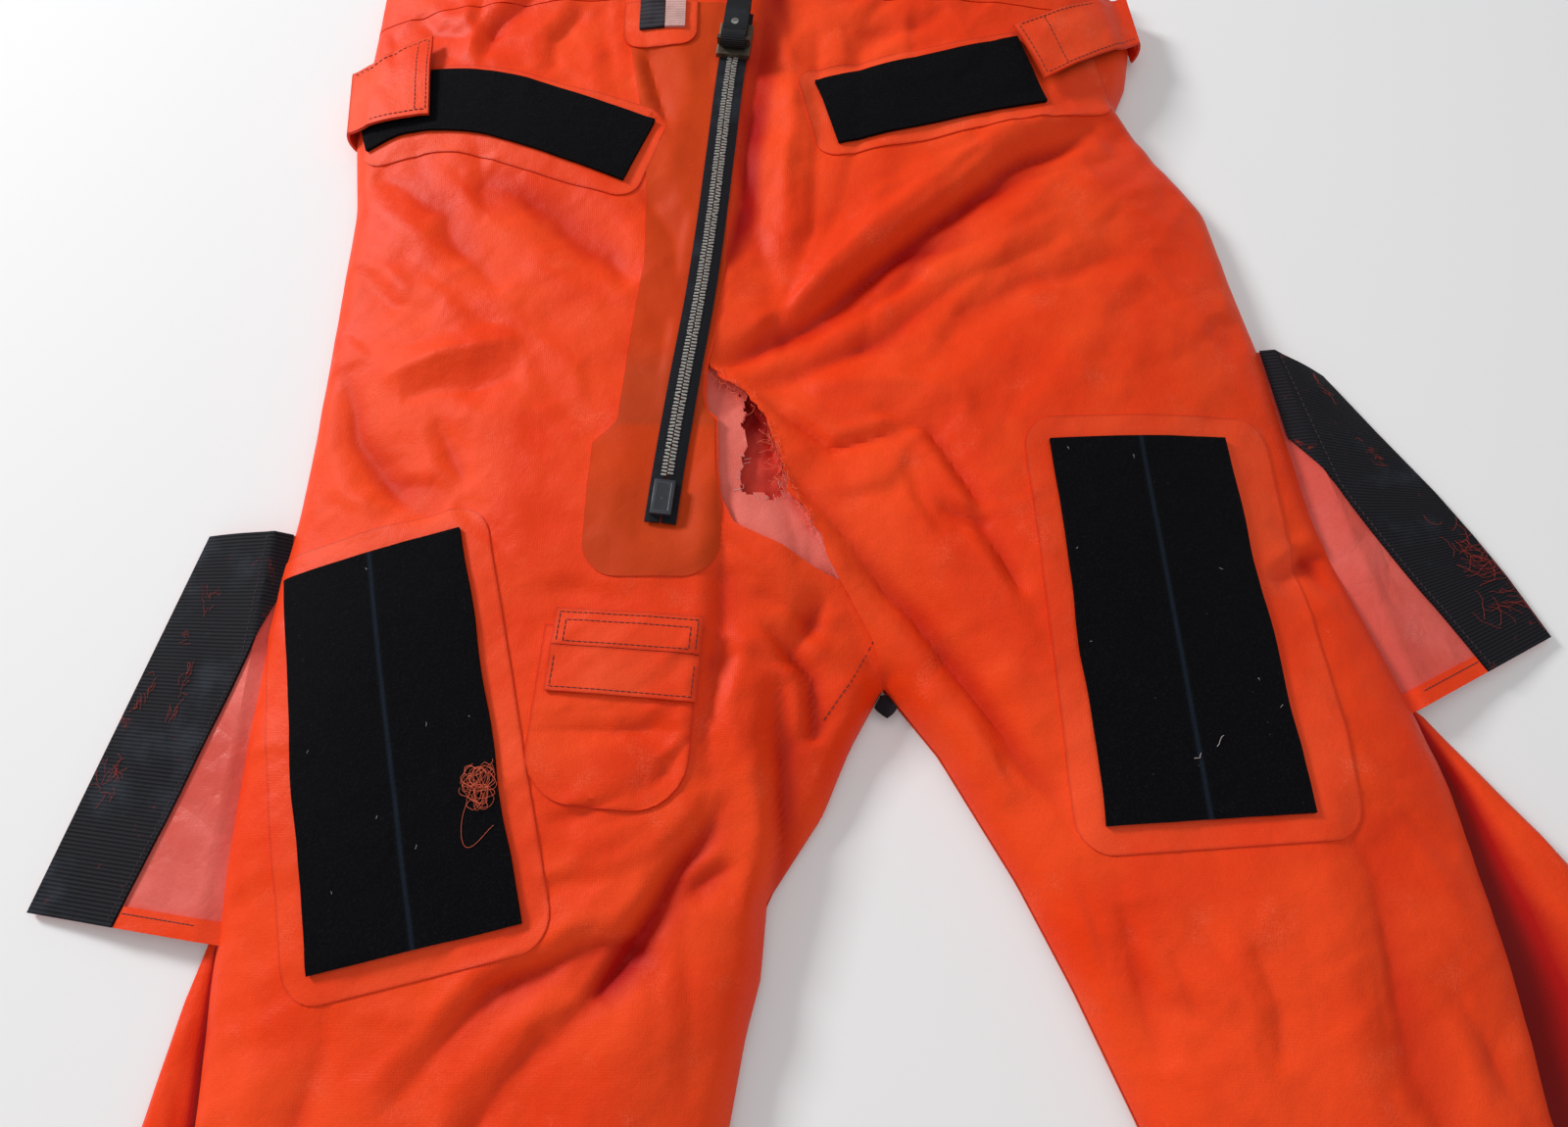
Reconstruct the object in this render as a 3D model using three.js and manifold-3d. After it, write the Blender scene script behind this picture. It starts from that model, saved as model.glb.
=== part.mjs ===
// Coated-fabric protective trousers lying on their back, legs spread. Millimetres, Z up, Y towards the waist, X towards the wearer's left.
import * as THREE from "three";
import Module from "manifold-3d";

const wasm = await Module();
wasm.setup();

// Driving sizes
const RISE = 485; // crotch to waist edge
const LEG = 720; // crotch to cuff edge
const HIP = 520; // flat width at the hip
const CROWN = 40; // height of the trunk as it lies
const THIGH_CROWN = 35; // height of a thigh as it lies
const CUFF_CROWN = 24; // height of a cuff as it lies
const SHOULDER = 14; // height of the front's outer edge
const CLOTH = 2.2; // wall of the lined shell
const PATCH = 0.8; // reinforcement patch
const TAPE = 50; // width of one strip of loop tape
const PILE = 2; // thickness of loop and hook tape
const THIGH_TAPE = 204; // length of a thigh strip
const FLAP = 2; // doubled cloth of a tab or flap
const BAND = 40; // depth of the waistband
const HEM = 22; // depth of a cuff hem
const ZIP = 312; // length of the tooth rows
const ZIP_WIDTH = 17; // over both tapes
const TOOTH_ROWS = 7; // over both tooth rows
const GAP = 0.5; // between two layers
const SEAM = 0.6; // between two panels that meet edge to edge
const WING_BAND = 45; // width of a leg wing's hook band
const PULL = 64; // length of the pull strap

// Colours
const mats = {
  shell: [0xe8491b, 0.62, 0],
  shellBack: [0xd9421a, 0.66, 0],
  patch: [0xf0562a, 0.55, 0],
  inner: [0xd97070, 0.6, 0],
  pile: [0x0c0c10, 0.95, 0],
  hook: [0x1e252e, 0.85, 0],
  tape: [0x1c1f27, 0.7, 0],
  moulded: [0x191d24, 0.45, 0],
  metal: [0x96958f, 0.4, 1],
  brass: [0x5c5648, 0.45, 1],
  strap: [0x141418, 0.6, 0],
  pale: [0xe3b4ae, 0.8, 0],
};
const group = new THREE.Group();
function add(name, geometry, mat) {
  const [color, roughness, metalness] = mats[mat];
  const mesh = new THREE.Mesh(
    geometry,
    new THREE.MeshStandardMaterial({ color, roughness, metalness }),
  );
  mesh.name = name;
  group.add(mesh);
  return mesh;
}

// Outlines, as [y, x] at the sizes above, from the waist down
const NOM = { rise: 485, leg: 720, hip: 520 };
const scaleY = (y) => (y > 0 ? (y * RISE) / NOM.rise : (y * LEG) / NOM.leg);
const plainY = (y) => (y > 0 ? (y * NOM.rise) / RISE : (y * NOM.leg) / LEG);
const scaleX = (x) => (x * HIP) / NOM.hip;
const plainX = (x) => (x * NOM.hip) / HIP;
const lines = {
  rightFront: [[485, -309], [422, -313], [359, -315], [307, -308], [154, -311], [100, -314], [72, -318], [28, -321], [-39, -322], [-106, -322], [-137, -321], [-201, -317], [-260, -324], [-340, -345], [-420, -371], [-500, -392], [-600, -405], [-760, -425]],
  rightBack: [[485, -309], [422, -313], [359, -315], [307, -308], [154, -311], [100, -314], [72, -318], [28, -321], [-39, -322], [-106, -323], [-146, -333], [-201, -343], [-300, -362], [-400, -378], [-500, -392], [-600, -405], [-760, -425]],
  rightInner: [[20, 12], [6, 8], [-24, -9], [-59, -24], [-101, -52], [-137, -55], [-163, -62], [-201, -69], [-300, -88], [-400, -112], [-500, -138], [-600, -165], [-760, -207]],
  leftFront: [[485, 172], [437, 183], [405, 177], [382, 167], [340, 191], [304, 215], [251, 225], [205, 235], [148, 243], [100, 250], [60, 262], [1, 282], [-44, 296], [-106, 305], [-146, 310], [-201, 312], [-260, 334], [-320, 369], [-380, 410], [-440, 454], [-500, 498], [-550, 527], [-600, 542], [-760, 582]],
  leftBack: [[485, 172], [437, 183], [405, 177], [382, 167], [340, 191], [304, 215], [251, 225], [205, 235], [148, 243], [100, 250], [60, 262], [1, 282], [-8, 292], [-47, 321], [-81, 347], [-115, 373], [-150, 398], [-200, 422], [-300, 456], [-400, 487], [-500, 515], [-600, 542], [-760, 582]],
  leftInner: [[20, 0], [6, 9], [-29, 36], [-92, 72], [-142, 96], [-201, 121], [-300, 162], [-400, 204], [-500, 246], [-600, 287], [-760, 350]],
  centreFront: [[485, -56], [344, -62], [186, -83], [141, -49], [56, -13], [6, 8.5]],
  tornEdge: [[485, -56], [344, -62], [189, -84], [165, -83], [123, -79], [106, -73], [55, -16], [6, 8.5]],
  centreBack: [[485, -56], [200, -40], [60, -6], [6, 8.5]],
};
function at(line, yReal) {
  const y = plainY(yReal);
  if (y >= line[0][0]) return scaleX(line[0][1]);
  for (let i = 1; i < line.length; i++)
    if (y >= line[i][0]) {
      const [y0, x0] = line[i - 1],
        [y1, x1] = line[i];
      return scaleX(x0 + ((x1 - x0) * (y - y0)) / (y1 - y0));
    }
  return scaleX(line[line.length - 1][1]);
}
const soft = (line, y) =>
  [-24, -12, 0, 12, 24].reduce((s, d) => s + at(line, y + d), 0) / 5;
const ramp = (a, b, v) => {
  const t = Math.min(1, Math.max(0, (v - a) / (b - a)));
  return t * t * (3 - 2 * t);
};

// Height of the front's outer face over the plan
function top(x, y) {
  const l = soft(lines.rightFront, y),
    r = soft(lines.leftFront, y);
  const arch = (a, b, crown) => {
    const t = Math.min(1, Math.abs((2 * x - a - b) / (b - a)));
    return SHOULDER + (crown - SHOULDER) * (1 - t ** 4);
  };
  const trunk = arch(l, r, CROWN);
  const fold = scaleX(11 - 0.508 * plainY(y));
  const ir = y > 0 ? fold : soft(lines.rightInner, y);
  const il = y > 0 ? fold : soft(lines.leftInner, y);
  const crown =
    THIGH_CROWN + (CUFF_CROWN - THIGH_CROWN) * ramp(0, -LEG, y);
  const leg = x < (ir + il) / 2 ? arch(l, ir, crown) : arch(il, r, crown);
  const w = ramp(scaleY(-10), scaleY(85), y);
  return leg * (1 - w) + trunk * w;
}

// A bent sheet: a box whose grid is carried to place(u, v, w), w being 0 below and 1 above
const even = (n) => Array.from({ length: n + 1 }, (_, i) => i / n);
function sheet(us, vs, place) {
  const nx = us.length - 1,
    ny = vs.length - 1;
  const g = new THREE.BoxGeometry(1, 1, 1, nx, ny, 1);
  const p = g.getAttribute("position");
  for (let i = 0; i < p.count; i++) {
    const u = us[Math.round((p.getX(i) + 0.5) * nx)],
      v = vs[Math.round((p.getY(i) + 0.5) * ny)];
    p.setXYZ(i, ...place(u, v, p.getZ(i) > 0 ? 1 : 0));
  }
  return g;
}
const mix = (a, b, t) => a + (b - a) * t;

// Rows of a half: level above the crotch, square to the leg at the cuff
const tilt = { right: 0.06, left: 0.125 };
const rowOuter = (side, y) => (y > 0 ? y : y * (1 - tilt[side] * (-y / LEG)));
const columns = [0, 0.013, 0.045, 0.11, 0.2, 0.33, 0.67, 0.8, 0.89, 0.955, 0.987, 1];
const flatColumns = [0, 0.25, 0.5, 0.75, 1];
const waistY = RISE - BAND;
const fractions = (list, low, high) => list.map((y) => (y - low) / (high - low));
const frontRows = [
  -LEG, -600, -490, -420, -350, -290, -240, -195, -155, -118, -90, -59, -30, -6, 6, 30, 56, 82, 107, 141, 165, 186, 240, 305, 335, 360, 382, 410, waistY,
].map((y, i, a) => (i === 0 || i === a.length - 1 ? y : scaleY(y)));
const backRows = [-LEG, -600, -490, -400, -310, -250, -200, -150, -115, -81, -47, -6, 6, 60, 150, 250, 305, 345, 382, 410, waistY].map(
  (y, i, a) => (i === 0 || i === a.length - 1 ? y : scaleY(y)),
);
const pleatTop = { right: scaleY(-118), left: scaleY(-6) };

function frontPanel(side) {
  const right = side === "right";
  const outer = lines[side + "Front"],
    inner = lines[side + "Inner"];
  const centre = right ? lines.tornEdge : lines.centreFront;
  const vs = fractions(frontRows, -LEG, waistY);
  return sheet(columns, vs, (u, v, w) => {
    const y = mix(-LEG, waistY, v),
      yo = rowOuter(side, y);
    const xo = at(outer, yo);
    const xi =
      y > 0
        ? at(centre, y) + (right ? -SEAM / 2 : SEAM / 2)
        : at(inner, y) + (right ? -SEAM / 2 : SEAM / 2);
    const s = right ? u : 1 - u; // 0 at the outer edge
    const x = mix(xo, xi, s),
      yy = mix(yo, y, s);
    let z = top(x, yy);
    const rim = s === 0 || (s === 1 && y <= 0);
    if (rim) z -= 4;
    if (w === 1) return [x, yy, z];
    if (s === 0)
      return [x, yy, mix(7.2, CLOTH + GAP, ramp(pleatTop[side] + 2, pleatTop[side] + 24, yo))];
    if (rim) return [x, yy, CLOTH + GAP];
    return [x, yy, z - CLOTH];
  });
}
function backPanel(side) {
  const right = side === "right";
  const outer = lines[side + "Back"],
    inner = lines[side + "Inner"];
  return sheet(flatColumns, fractions(backRows, -LEG, waistY), (u, v, w) => {
    const y = mix(-LEG, waistY, v),
      yo = rowOuter(side, y);
    const xo = at(outer, yo);
    const xi =
      at(y > 0 ? lines.centreBack : inner, y) +
      (right ? -SEAM / 2 : SEAM / 2);
    const s = right ? u : 1 - u;
    return [mix(xo, xi, s), mix(yo, y, s), w * CLOTH];
  });
}
// The part of the leg's side that folds out beyond the front's edge
function pleat(side) {
  const right = side === "right";
  const bottom = right ? -470 : -500;
  const rows = right
    ? [bottom, -410, -350, -300, -250, -201, -170, -146, plainY(pleatTop.right)]
    : [bottom, -440, -380, -330, -280, -240, -200, -150, -115, -81, -47, -22, plainY(pleatTop.left)];
  return sheet([0, 0.04, 0.35, 0.7, 1], fractions(rows, bottom, rows[rows.length - 1]), (u, v, w) => {
    const y = scaleY(mix(bottom, rows[rows.length - 1], v));
    const yo = y;
    const xo = at(lines[side + "Back"], yo),
      xf = at(lines[side + "Front"], yo) + (right ? 26 : -26);
    const s = right ? u : 1 - u;
    const x = mix(xo, xf, s);
    return [x, yo, w === 0 ? CLOTH + GAP : (s === 0 ? 4 : 4.7) + 1.6 * Math.sin(Math.PI * s)];
  });
}
for (const side of ["right", "left"]) {
  add("front_panel_" + side, frontPanel(side), "shell");
  add("back_panel_" + side, backPanel(side), "shellBack");
  add("leg_pleat_" + side, pleat(side), "shell");
}

// Waistband: two fronts parted at the zip, one back
function bandSheet(from, to, us, low, high) {
  const vs = [0, 0.35, 0.7, 1];
  return sheet(us, vs, (u, v, w) => {
    const y = mix(waistY + SEAM, RISE, v);
    const x = mix(from(y), to(y), u);
    return [x, y, w === 0 ? low(x, y, u) : high(x, y, u)];
  });
}
const bandSkin = CLOTH + 1;
const zipTilt = Math.atan2(scaleX(31), scaleY(286));
const zipFoot = [scaleX(-106), scaleY(111)];
const zipX = (y) => zipFoot[0] + Math.tan(zipTilt) * (y - zipFoot[1]);
const rowLength = Math.min(ZIP, (waistY - zipFoot[1]) / Math.cos(zipTilt) - 14); // the rows end below the waistband
add(
  "waistband_front_right",
  bandSheet(
    (y) => at(lines.rightFront, y),
    (y) => zipX(y) - ZIP_WIDTH / 2 - 1.5,
    [0, 0.018, 0.06, 0.14, 0.25, 0.4, 0.6, 0.8, 1],
    (x, y, u) => (u === 0 ? bandSkin + GAP : top(x, y) - CLOTH),
    (x, y, u) => top(x, y) + (u === 0 ? -4 : 1),
  ),
  "shell",
);
add(
  "waistband_front_left",
  bandSheet(
    (y) => zipX(y) + ZIP_WIDTH / 2 + 1.5,
    (y) => at(lines.leftFront, y),
    [0, 0.2, 0.4, 0.6, 0.75, 0.86, 0.94, 0.982, 1],
    (x, y, u) => (u === 1 ? bandSkin + GAP : top(x, y) - CLOTH),
    (x, y, u) => top(x, y) + (u === 1 ? -4 : 1),
  ),
  "shell",
);
add(
  "waistband_back",
  bandSheet(
    (y) => at(lines.rightBack, y),
    (y) => at(lines.leftBack, y),
    [0, 0.25, 0.5, 0.75, 1],
    () => 0,
    () => bandSkin,
  ),
  "shellBack",
);

// manifold-3d solids, for the pieces that have a hole
function solid(g) {
  const n = g.index ? g.toNonIndexed() : g;
  const pos = n.getAttribute("position").array;
  const mesh = new wasm.Mesh({
    numProp: 3,
    vertProperties: new Float32Array(pos),
    triVerts: Uint32Array.from({ length: pos.length / 3 }, (_, i) => i),
  });
  mesh.merge();
  return new wasm.Manifold(mesh);
}
function geometry(m) {
  const mesh = m.getMesh();
  const v = new Float32Array(mesh.numVert * 3);
  for (let i = 0; i < mesh.numVert; i++)
    v.set(mesh.vertProperties.subarray(i * mesh.numProp, i * mesh.numProp + 3), i * 3);
  return new THREE.BufferGeometry()
    .setAttribute("position", new THREE.BufferAttribute(v, 3))
    .setIndex(new THREE.BufferAttribute(new Uint32Array(mesh.triVerts), 1));
}

// Cuff hems: a ring round the end of each leg
function cuffHem(side) {
  const right = side === "right";
  const ends = [
    [at(lines[side + "Back"], rowOuter(side, -LEG)), rowOuter(side, -LEG)],
    [at(lines[side + "Inner"], -LEG), -LEG],
  ];
  if (!right) ends.reverse();
  const [a, b] = ends;
  const width = Math.hypot(b[0] - a[0], b[1] - a[1]);
  const dir = [(b[1] - a[1]) / width, -(b[0] - a[0]) / width]; // away from the leg
  const hemColumns = [0, 0.03, 0.07, 0.12, 0.18, 0.26, 0.38, 0.5, 0.62, 0.74, 0.82, 0.88, 0.93, 0.97, 1];
  const block = (inset, low, wall, start, end) =>
    sheet(hemColumns, [0, 1], (u, v, w) => {
      const e = inset / width,
        s = mix(e, 1 - e, u),
        along = mix(end, start, v);
      const t = Math.abs(2 * s - 1);
      const x = mix(a[0], b[0], s) + dir[0] * along,
        y = mix(a[1], b[1], s) + dir[1] * along;
      const edge = SHOULDER - 4;
      return [x, y, w === 0 ? low : edge + (CUFF_CROWN + 0.8 - edge) * (1 - t ** 6) - wall];
    });
  const outside = solid(block(0, 0, 0, SEAM, HEM));
  const inside = solid(block(3, CLOTH + 0.6, CLOTH + 1.3, SEAM - 5, HEM + 5));
  return geometry(outside.subtract(inside));
}
add("cuff_hem_right", cuffHem("right"), "shell");
add("cuff_hem_left", cuffHem("left"), "shell");

// A flat piece with rounded corners laid on the front: centre, size, turn, corner radius, height over the front
const layer = {
  patch: [GAP, GAP + PATCH],
  pile: [2 * GAP + PATCH, 2 * GAP + PATCH + PILE],
  hook: [3 * GAP + PATCH + PILE, 3 * GAP + PATCH + PILE + 1.2],
  tab: [4 * GAP + PATCH + PILE + 1.2, 4 * GAP + PATCH + PILE + 1.2 + FLAP],
};
function laid({ centre, width, length, turn, radius = 0, nx, ny, lift, keep = (x) => x, corners = [1, 1, 1, 1] }) {
  const arc = [0, 0.1, 0.42, 1];
  const r = radius / length;
  const vs = radius
    ? [
        ...arc.map((a) => a * r),
        ...even(ny).slice(1, -1).map((f) => mix(r, 1 - r, f)),
        ...arc.map((a) => 1 - a * r).reverse(),
      ]
    : even(ny);
  const c = Math.cos((turn * Math.PI) / 180),
    s = Math.sin((turn * Math.PI) / 180);
  return sheet(even(nx), vs, (u, v, w) => {
    const b = (v - 0.5) * length;
    const into = Math.max(0, Math.abs(b) - (length / 2 - radius));
    const cut = radius - Math.sqrt(Math.max(0, radius * radius - into * into));
    const low = b < 0;
    const l = -width / 2 + cut * corners[low ? 0 : 2],
      h = width / 2 - cut * corners[low ? 1 : 3];
    const a = mix(l, h, u);
    const y = centre[1] + a * s + b * c;
    const x = keep(centre[0] + a * c - b * s, y);
    return [x, y, top(x, y) + lift[w]];
  });
}

// Thigh panels: a rounded patch, and two strips of loop tape side by side
const thigh = {
  right: { centre: [scaleX(-322) + TAPE + 33, scaleY(-25)], turn: 13.3 },
  left: { centre: [scaleX(271) - TAPE - 66, scaleY(37)], turn: 3.6 },
};
const stripCentre = (t, off) => {
  const r = (t.turn * Math.PI) / 180;
  return [t.centre[0] + off * Math.cos(r), t.centre[1] + off * Math.sin(r)];
};
const steeper = Math.max(1, (TAPE * NOM.hip) / (50 * HIP)) ** 3; // a finer grid where the front turns down sooner
for (const side of ["right", "left"]) {
  const t = thigh[side];
  const shift = side === "right" ? 0 : 6;
  const edge = side === "right"
    ? (x, y) => Math.max(x, at(lines.rightFront, y) + 2.5)
    : (x, y) => Math.min(x, at(lines.leftFront, y) - 2.5);
  add(
    "thigh_patch_" + side,
    laid({
      centre: stripCentre(t, shift),
      width: 2 * TAPE + (side === "right" ? 28 : 40),
      length: THIGH_TAPE + 27,
      turn: t.turn,
      radius: 18,
      nx: Math.ceil(8 * steeper),
      ny: Math.ceil(7 * steeper),
      lift: layer.patch,
      keep: edge,
    }),
    "patch",
  );
  for (const [where, off] of [["outer", -1], ["inner", 1]]) {
    const sign = side === "right" ? off : -off;
    add(
      "thigh_loop_" + side + "_" + where,
      laid({
        centre: stripCentre(t, (sign * (TAPE + SEAM)) / 2),
        width: TAPE,
        length: THIGH_TAPE,
        turn: t.turn,
        nx: 4,
        ny: 8,
        lift: layer.pile,
        keep: edge,
      }),
      "pile",
    );
  }
}

// Waist strips follow a line across each side of the front
function band(points, width, nx, ny, lift, ends = 0) {
  const curve = new THREE.CatmullRomCurve3(
    points.map(([x, y]) => new THREE.Vector3(scaleX(x), scaleY(y), 0)),
  );
  const length = curve.getLength();
  return sheet(even(nx), even(ny), (u, v, w) => {
    const p = curve.getPointAt(u),
      t = curve.getTangentAt(u);
    const d = Math.min(u, 1 - u) * length;
    const half = width / 2 - (ends > d ? ends - Math.sqrt(ends * ends - (ends - d) ** 2) : 0);
    const b = (v - 0.5) * 2 * half;
    const x = p.x - t.y * b,
      y = p.y + t.x * b;
    return [x, y, top(x, y) + lift[w]];
  });
}
const waistLine = {
  right: [[-296, 370], [-258, 372], [-222, 365], [-188, 351], [-130, 326]],
  left: [[-18, 354.5], [45, 372], [109, 390], [140, 399]],
};
const waistPatchLine = {
  right: [[-300, 366], [-258, 368], [-222, 361], [-188, 347], [-127, 324]],
  left: [[-30, 353], [45, 371], [109, 389], [143, 399]],
};
const waistWidth = { right: TAPE - 5, left: TAPE };
for (const side of ["right", "left"]) {
  add(
    "waist_patch_" + side,
    band(waistPatchLine[side], waistWidth[side] + 19, 14, 4, layer.patch, 14),
    "patch",
  );
  add("waist_loop_" + side, band(waistLine[side], waistWidth[side], 12, 3, layer.pile), "pile");
}

// Waist tabs: they come round the side and close on the waist strips
const tab = {
  right: { foot: [[-315.5, 357], [-318, 403]], tip: [[-260, 357], [-265, 421]] },
  left: { foot: [[185, 429], [179.5, 467]], tip: [[117, 384], [99, 422]] },
};
function tabSheet({ foot, tip }, from, to, inset, lift, right) {
  return sheet(even(5), even(3), (u, v, w) => {
    const s = right ? u : 1 - u; // 0 at the side
    const a = mix(from, to, s),
      b = mix(inset, 1 - inset, v);
    const x = scaleX(mix(mix(foot[0][0], foot[1][0], b), mix(tip[0][0], tip[1][0], b), a)),
      y = scaleY(mix(mix(foot[0][1], foot[1][1], b), mix(tip[0][1], tip[1][1], b), a));
    return [x, y, top(x, y) + lift[w]];
  });
}
for (const side of ["right", "left"]) {
  const right = side === "right";
  add("waist_tab_" + side, tabSheet(tab[side], 0, 1, 0, layer.tab, right), "shell");
  add("waist_tab_hook_" + side, tabSheet(tab[side], 0.14, 0.96, 0.04, layer.hook, right), "hook");
  // the end of the tab, sewn to the side of the trousers
  const [p, q] = tab[side].foot;
  const out = right ? -1 : 1;
  add(
    "waist_tab_root_" + side,
    sheet([0, 1], even(3), (u, v, w) => {
      const x = scaleX(mix(p[0], q[0], v)) + out * (right ? mix(2.4, 0.6, u) : mix(0.6, 2.4, u));
      return [x, scaleY(mix(p[1], q[1], v)), w === 0 ? 1.5 : SHOULDER + layer.tab[0] - 1.2];
    }),
    "shell",
  );
}

// Zip, built along its own line
const zipZ = top(...zipFoot) + GAP + PATCH + GAP;
const onZip = (g) =>
  g.applyMatrix4(
    new THREE.Matrix4()
      .makeTranslation(zipFoot[0], zipFoot[1], zipZ)
      .multiply(new THREE.Matrix4().makeRotationZ(-zipTilt)),
  );
const block = (w, l, h, x, y, z) =>
  new THREE.BoxGeometry(w, l, h).translate(x, y + l / 2, z + h / 2);
const tapeWidth = (ZIP_WIDTH - TOOTH_ROWS) / 2 - 0.3;
add("zip_tape_right", onZip(block(tapeWidth, rowLength + 30, 1.2, -(ZIP_WIDTH - tapeWidth) / 2, -21, 0)), "tape");
add("zip_tape_left", onZip(block(tapeWidth, rowLength + 30, 1.2, (ZIP_WIDTH - tapeWidth) / 2, -21, 0)), "tape");
function toothRow(out) {
  const wide = TOOTH_ROWS / 2,
    pitch = 8;
  const s = new THREE.Shape().moveTo(wide, 0).lineTo(wide, rowLength).lineTo(1.7, rowLength);
  for (let y = rowLength - 1.4; y > 6; y -= pitch)
    s.lineTo(1.7, y).lineTo(0.2, y - 0.5).lineTo(0.2, y - 4.1).lineTo(1.7, y - 4.6);
  s.lineTo(1.7, 0).closePath();
  const g = new THREE.ExtrudeGeometry(s, { depth: 2.2, bevelEnabled: false });
  return out > 0 ? g : g.rotateY(Math.PI).translate(0, 0, 2.2);
}
add("zip_teeth_right", onZip(toothRow(-1)), "metal");
add("zip_teeth_left", onZip(toothRow(1)), "metal");
// docking end: a rounded block moulded between the tapes
{
  const w = TOOTH_ROWS + 0.1,
    l = 20,
    r = 2.2;
  const s = new THREE.Shape()
    .moveTo(-w / 2 + r, 0).lineTo(w / 2 - r, 0).absarc(w / 2 - r, r, r, -Math.PI / 2, 0, false)
    .lineTo(w / 2, l - r).absarc(w / 2 - r, l - r, r, 0, Math.PI / 2, false)
    .lineTo(-w / 2 + r, l).absarc(-w / 2 + r, l - r, r, Math.PI / 2, Math.PI, false)
    .lineTo(-w / 2, r).absarc(-w / 2 + r, r, r, Math.PI, 1.5 * Math.PI, false);
  const g = new THREE.ExtrudeGeometry(s, { depth: 3.4, bevelEnabled: true, bevelSize: 0.1, bevelThickness: 0.6, bevelSegments: 1, curveSegments: 3 });
  add("zip_docking_end", onZip(g.translate(0, -20.6, 0.6)), "moulded");
}
add("zip_top_stop", onZip(block(TOOTH_ROWS, 6, 2.6, 0, rowLength + 0.6, 0)), "brass");

// The band of thin cloth under the zip
add(
  "zip_patch",
  sheet(
    even(4),
    [0, 0.008, 0.03, 0.06, 0.1, 0.16, 0.24, 0.34, 0.5, 0.65, 0.8, 0.92, 1],
    (u, v, w) => {
      const low = scaleY(58),
        high = waistY - 4;
      const y = mix(low, high, v);
      const r = 20,
        into = Math.max(0, low + r - y);
      const cut = r - Math.sqrt(Math.max(0, r * r - into * into));
      const l = mix(scaleX(-150), scaleX(-112), ramp(low, scaleY(250), y)) + cut;
      const torn = Math.min(at(lines.tornEdge, y), at(lines.centreFront, y)) - 1.2;
      const h = Math.min(torn, scaleX(-77)) - cut;
      const x = mix(l, h, u);
      return [x, y, top(x, y) + layer.patch[w]];
    },
  ),
  "patch",
);

// Slider: a channel over the teeth with an arch for the pull
const sliderY = 284; // its foot, along the zip, when the zip is closed
const sliderLong = 24;
const barY = sliderY + 8, // bar of the arch, along the zip and over the tapes
  barZ = 9.4,
  barHalf = 1.3,
  strapHalf = 7.4;
{
  const w = strapHalf + 2.8,
    legs = 1.5; // half width, and the height of its lips over the cloth
  const s = new THREE.Shape()
    .moveTo(-w, legs).lineTo(-TOOTH_ROWS / 2 - 0.5, legs).lineTo(-TOOTH_ROWS / 2 - 0.5, 2.7)
    .lineTo(TOOTH_ROWS / 2 + 0.5, 2.7).lineTo(TOOTH_ROWS / 2 + 0.5, legs).lineTo(w, legs)
    .lineTo(w, 4.2).lineTo(w - 1, 5).lineTo(-w + 1, 5).lineTo(-w, 4.2).closePath();
  const g = new THREE.ExtrudeGeometry(s, { depth: sliderLong, bevelEnabled: false })
    .rotateX(Math.PI / 2)
    .translate(0, sliderY + sliderLong, 0);
  add("zip_slider", onZip(g), "brass");
}
{
  const o = strapHalf + 2.6,
    i = strapHalf + 0.6;
  const s = new THREE.Shape()
    .moveTo(-o, 5.3).lineTo(-i, 5.3).lineTo(-i, barZ - barHalf).lineTo(i, barZ - barHalf)
    .lineTo(i, 5.3).lineTo(o, 5.3).lineTo(o, barZ + barHalf).lineTo(-o, barZ + barHalf).closePath();
  const g = new THREE.ExtrudeGeometry(s, { depth: 2 * barHalf, bevelEnabled: false })
    .rotateX(Math.PI / 2)
    .translate(0, barY + barHalf, 0);
  add("slider_bail", onZip(g), "brass");
}
{
  // pull strap: a loop round the bar and a tail, in profile along the zip
  const hole = 2.15,
    outerR = 4,
    t = 1.3;
  const a0 = Math.asin(t / outerR);
  const s = new THREE.Shape().moveTo(outerR * Math.cos(a0), t).lineTo(PULL - 3, t).lineTo(PULL, t - 1).lineTo(PULL, -t + 1).lineTo(PULL - 3, -t);
  s.lineTo(outerR * Math.cos(a0), -t).absarc(0, 0, outerR, -a0, a0 - 2 * Math.PI, true);
  s.holes.push(new THREE.Path().absarc(0, 0, hole, 0, 2 * Math.PI, false));
  const g = new THREE.ExtrudeGeometry(s, { depth: 2 * strapHalf, bevelEnabled: false, curveSegments: 12 })
    .applyMatrix4(new THREE.Matrix4().makeBasis(new THREE.Vector3(0, 1, 0), new THREE.Vector3(0, 0, 1), new THREE.Vector3(1, 0, 0)))
    .translate(-strapHalf, barY, barZ);
  add("pull_strap", onZip(g), "strap");
  const dome = new THREE.LatheGeometry(
    [[0, 0], [3.4, 0], [3.4, 0.5], [2.6, 1.2], [1.3, 1.6], [0, 1.7]].map(([x, y]) => new THREE.Vector2(x, y)),
    16,
  )
    .rotateX(Math.PI / 2)
    .translate(-0.5, barY + 11, barZ + t + 0.3);
  add("pull_rivet", onZip(dome), "brass");
}

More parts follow.
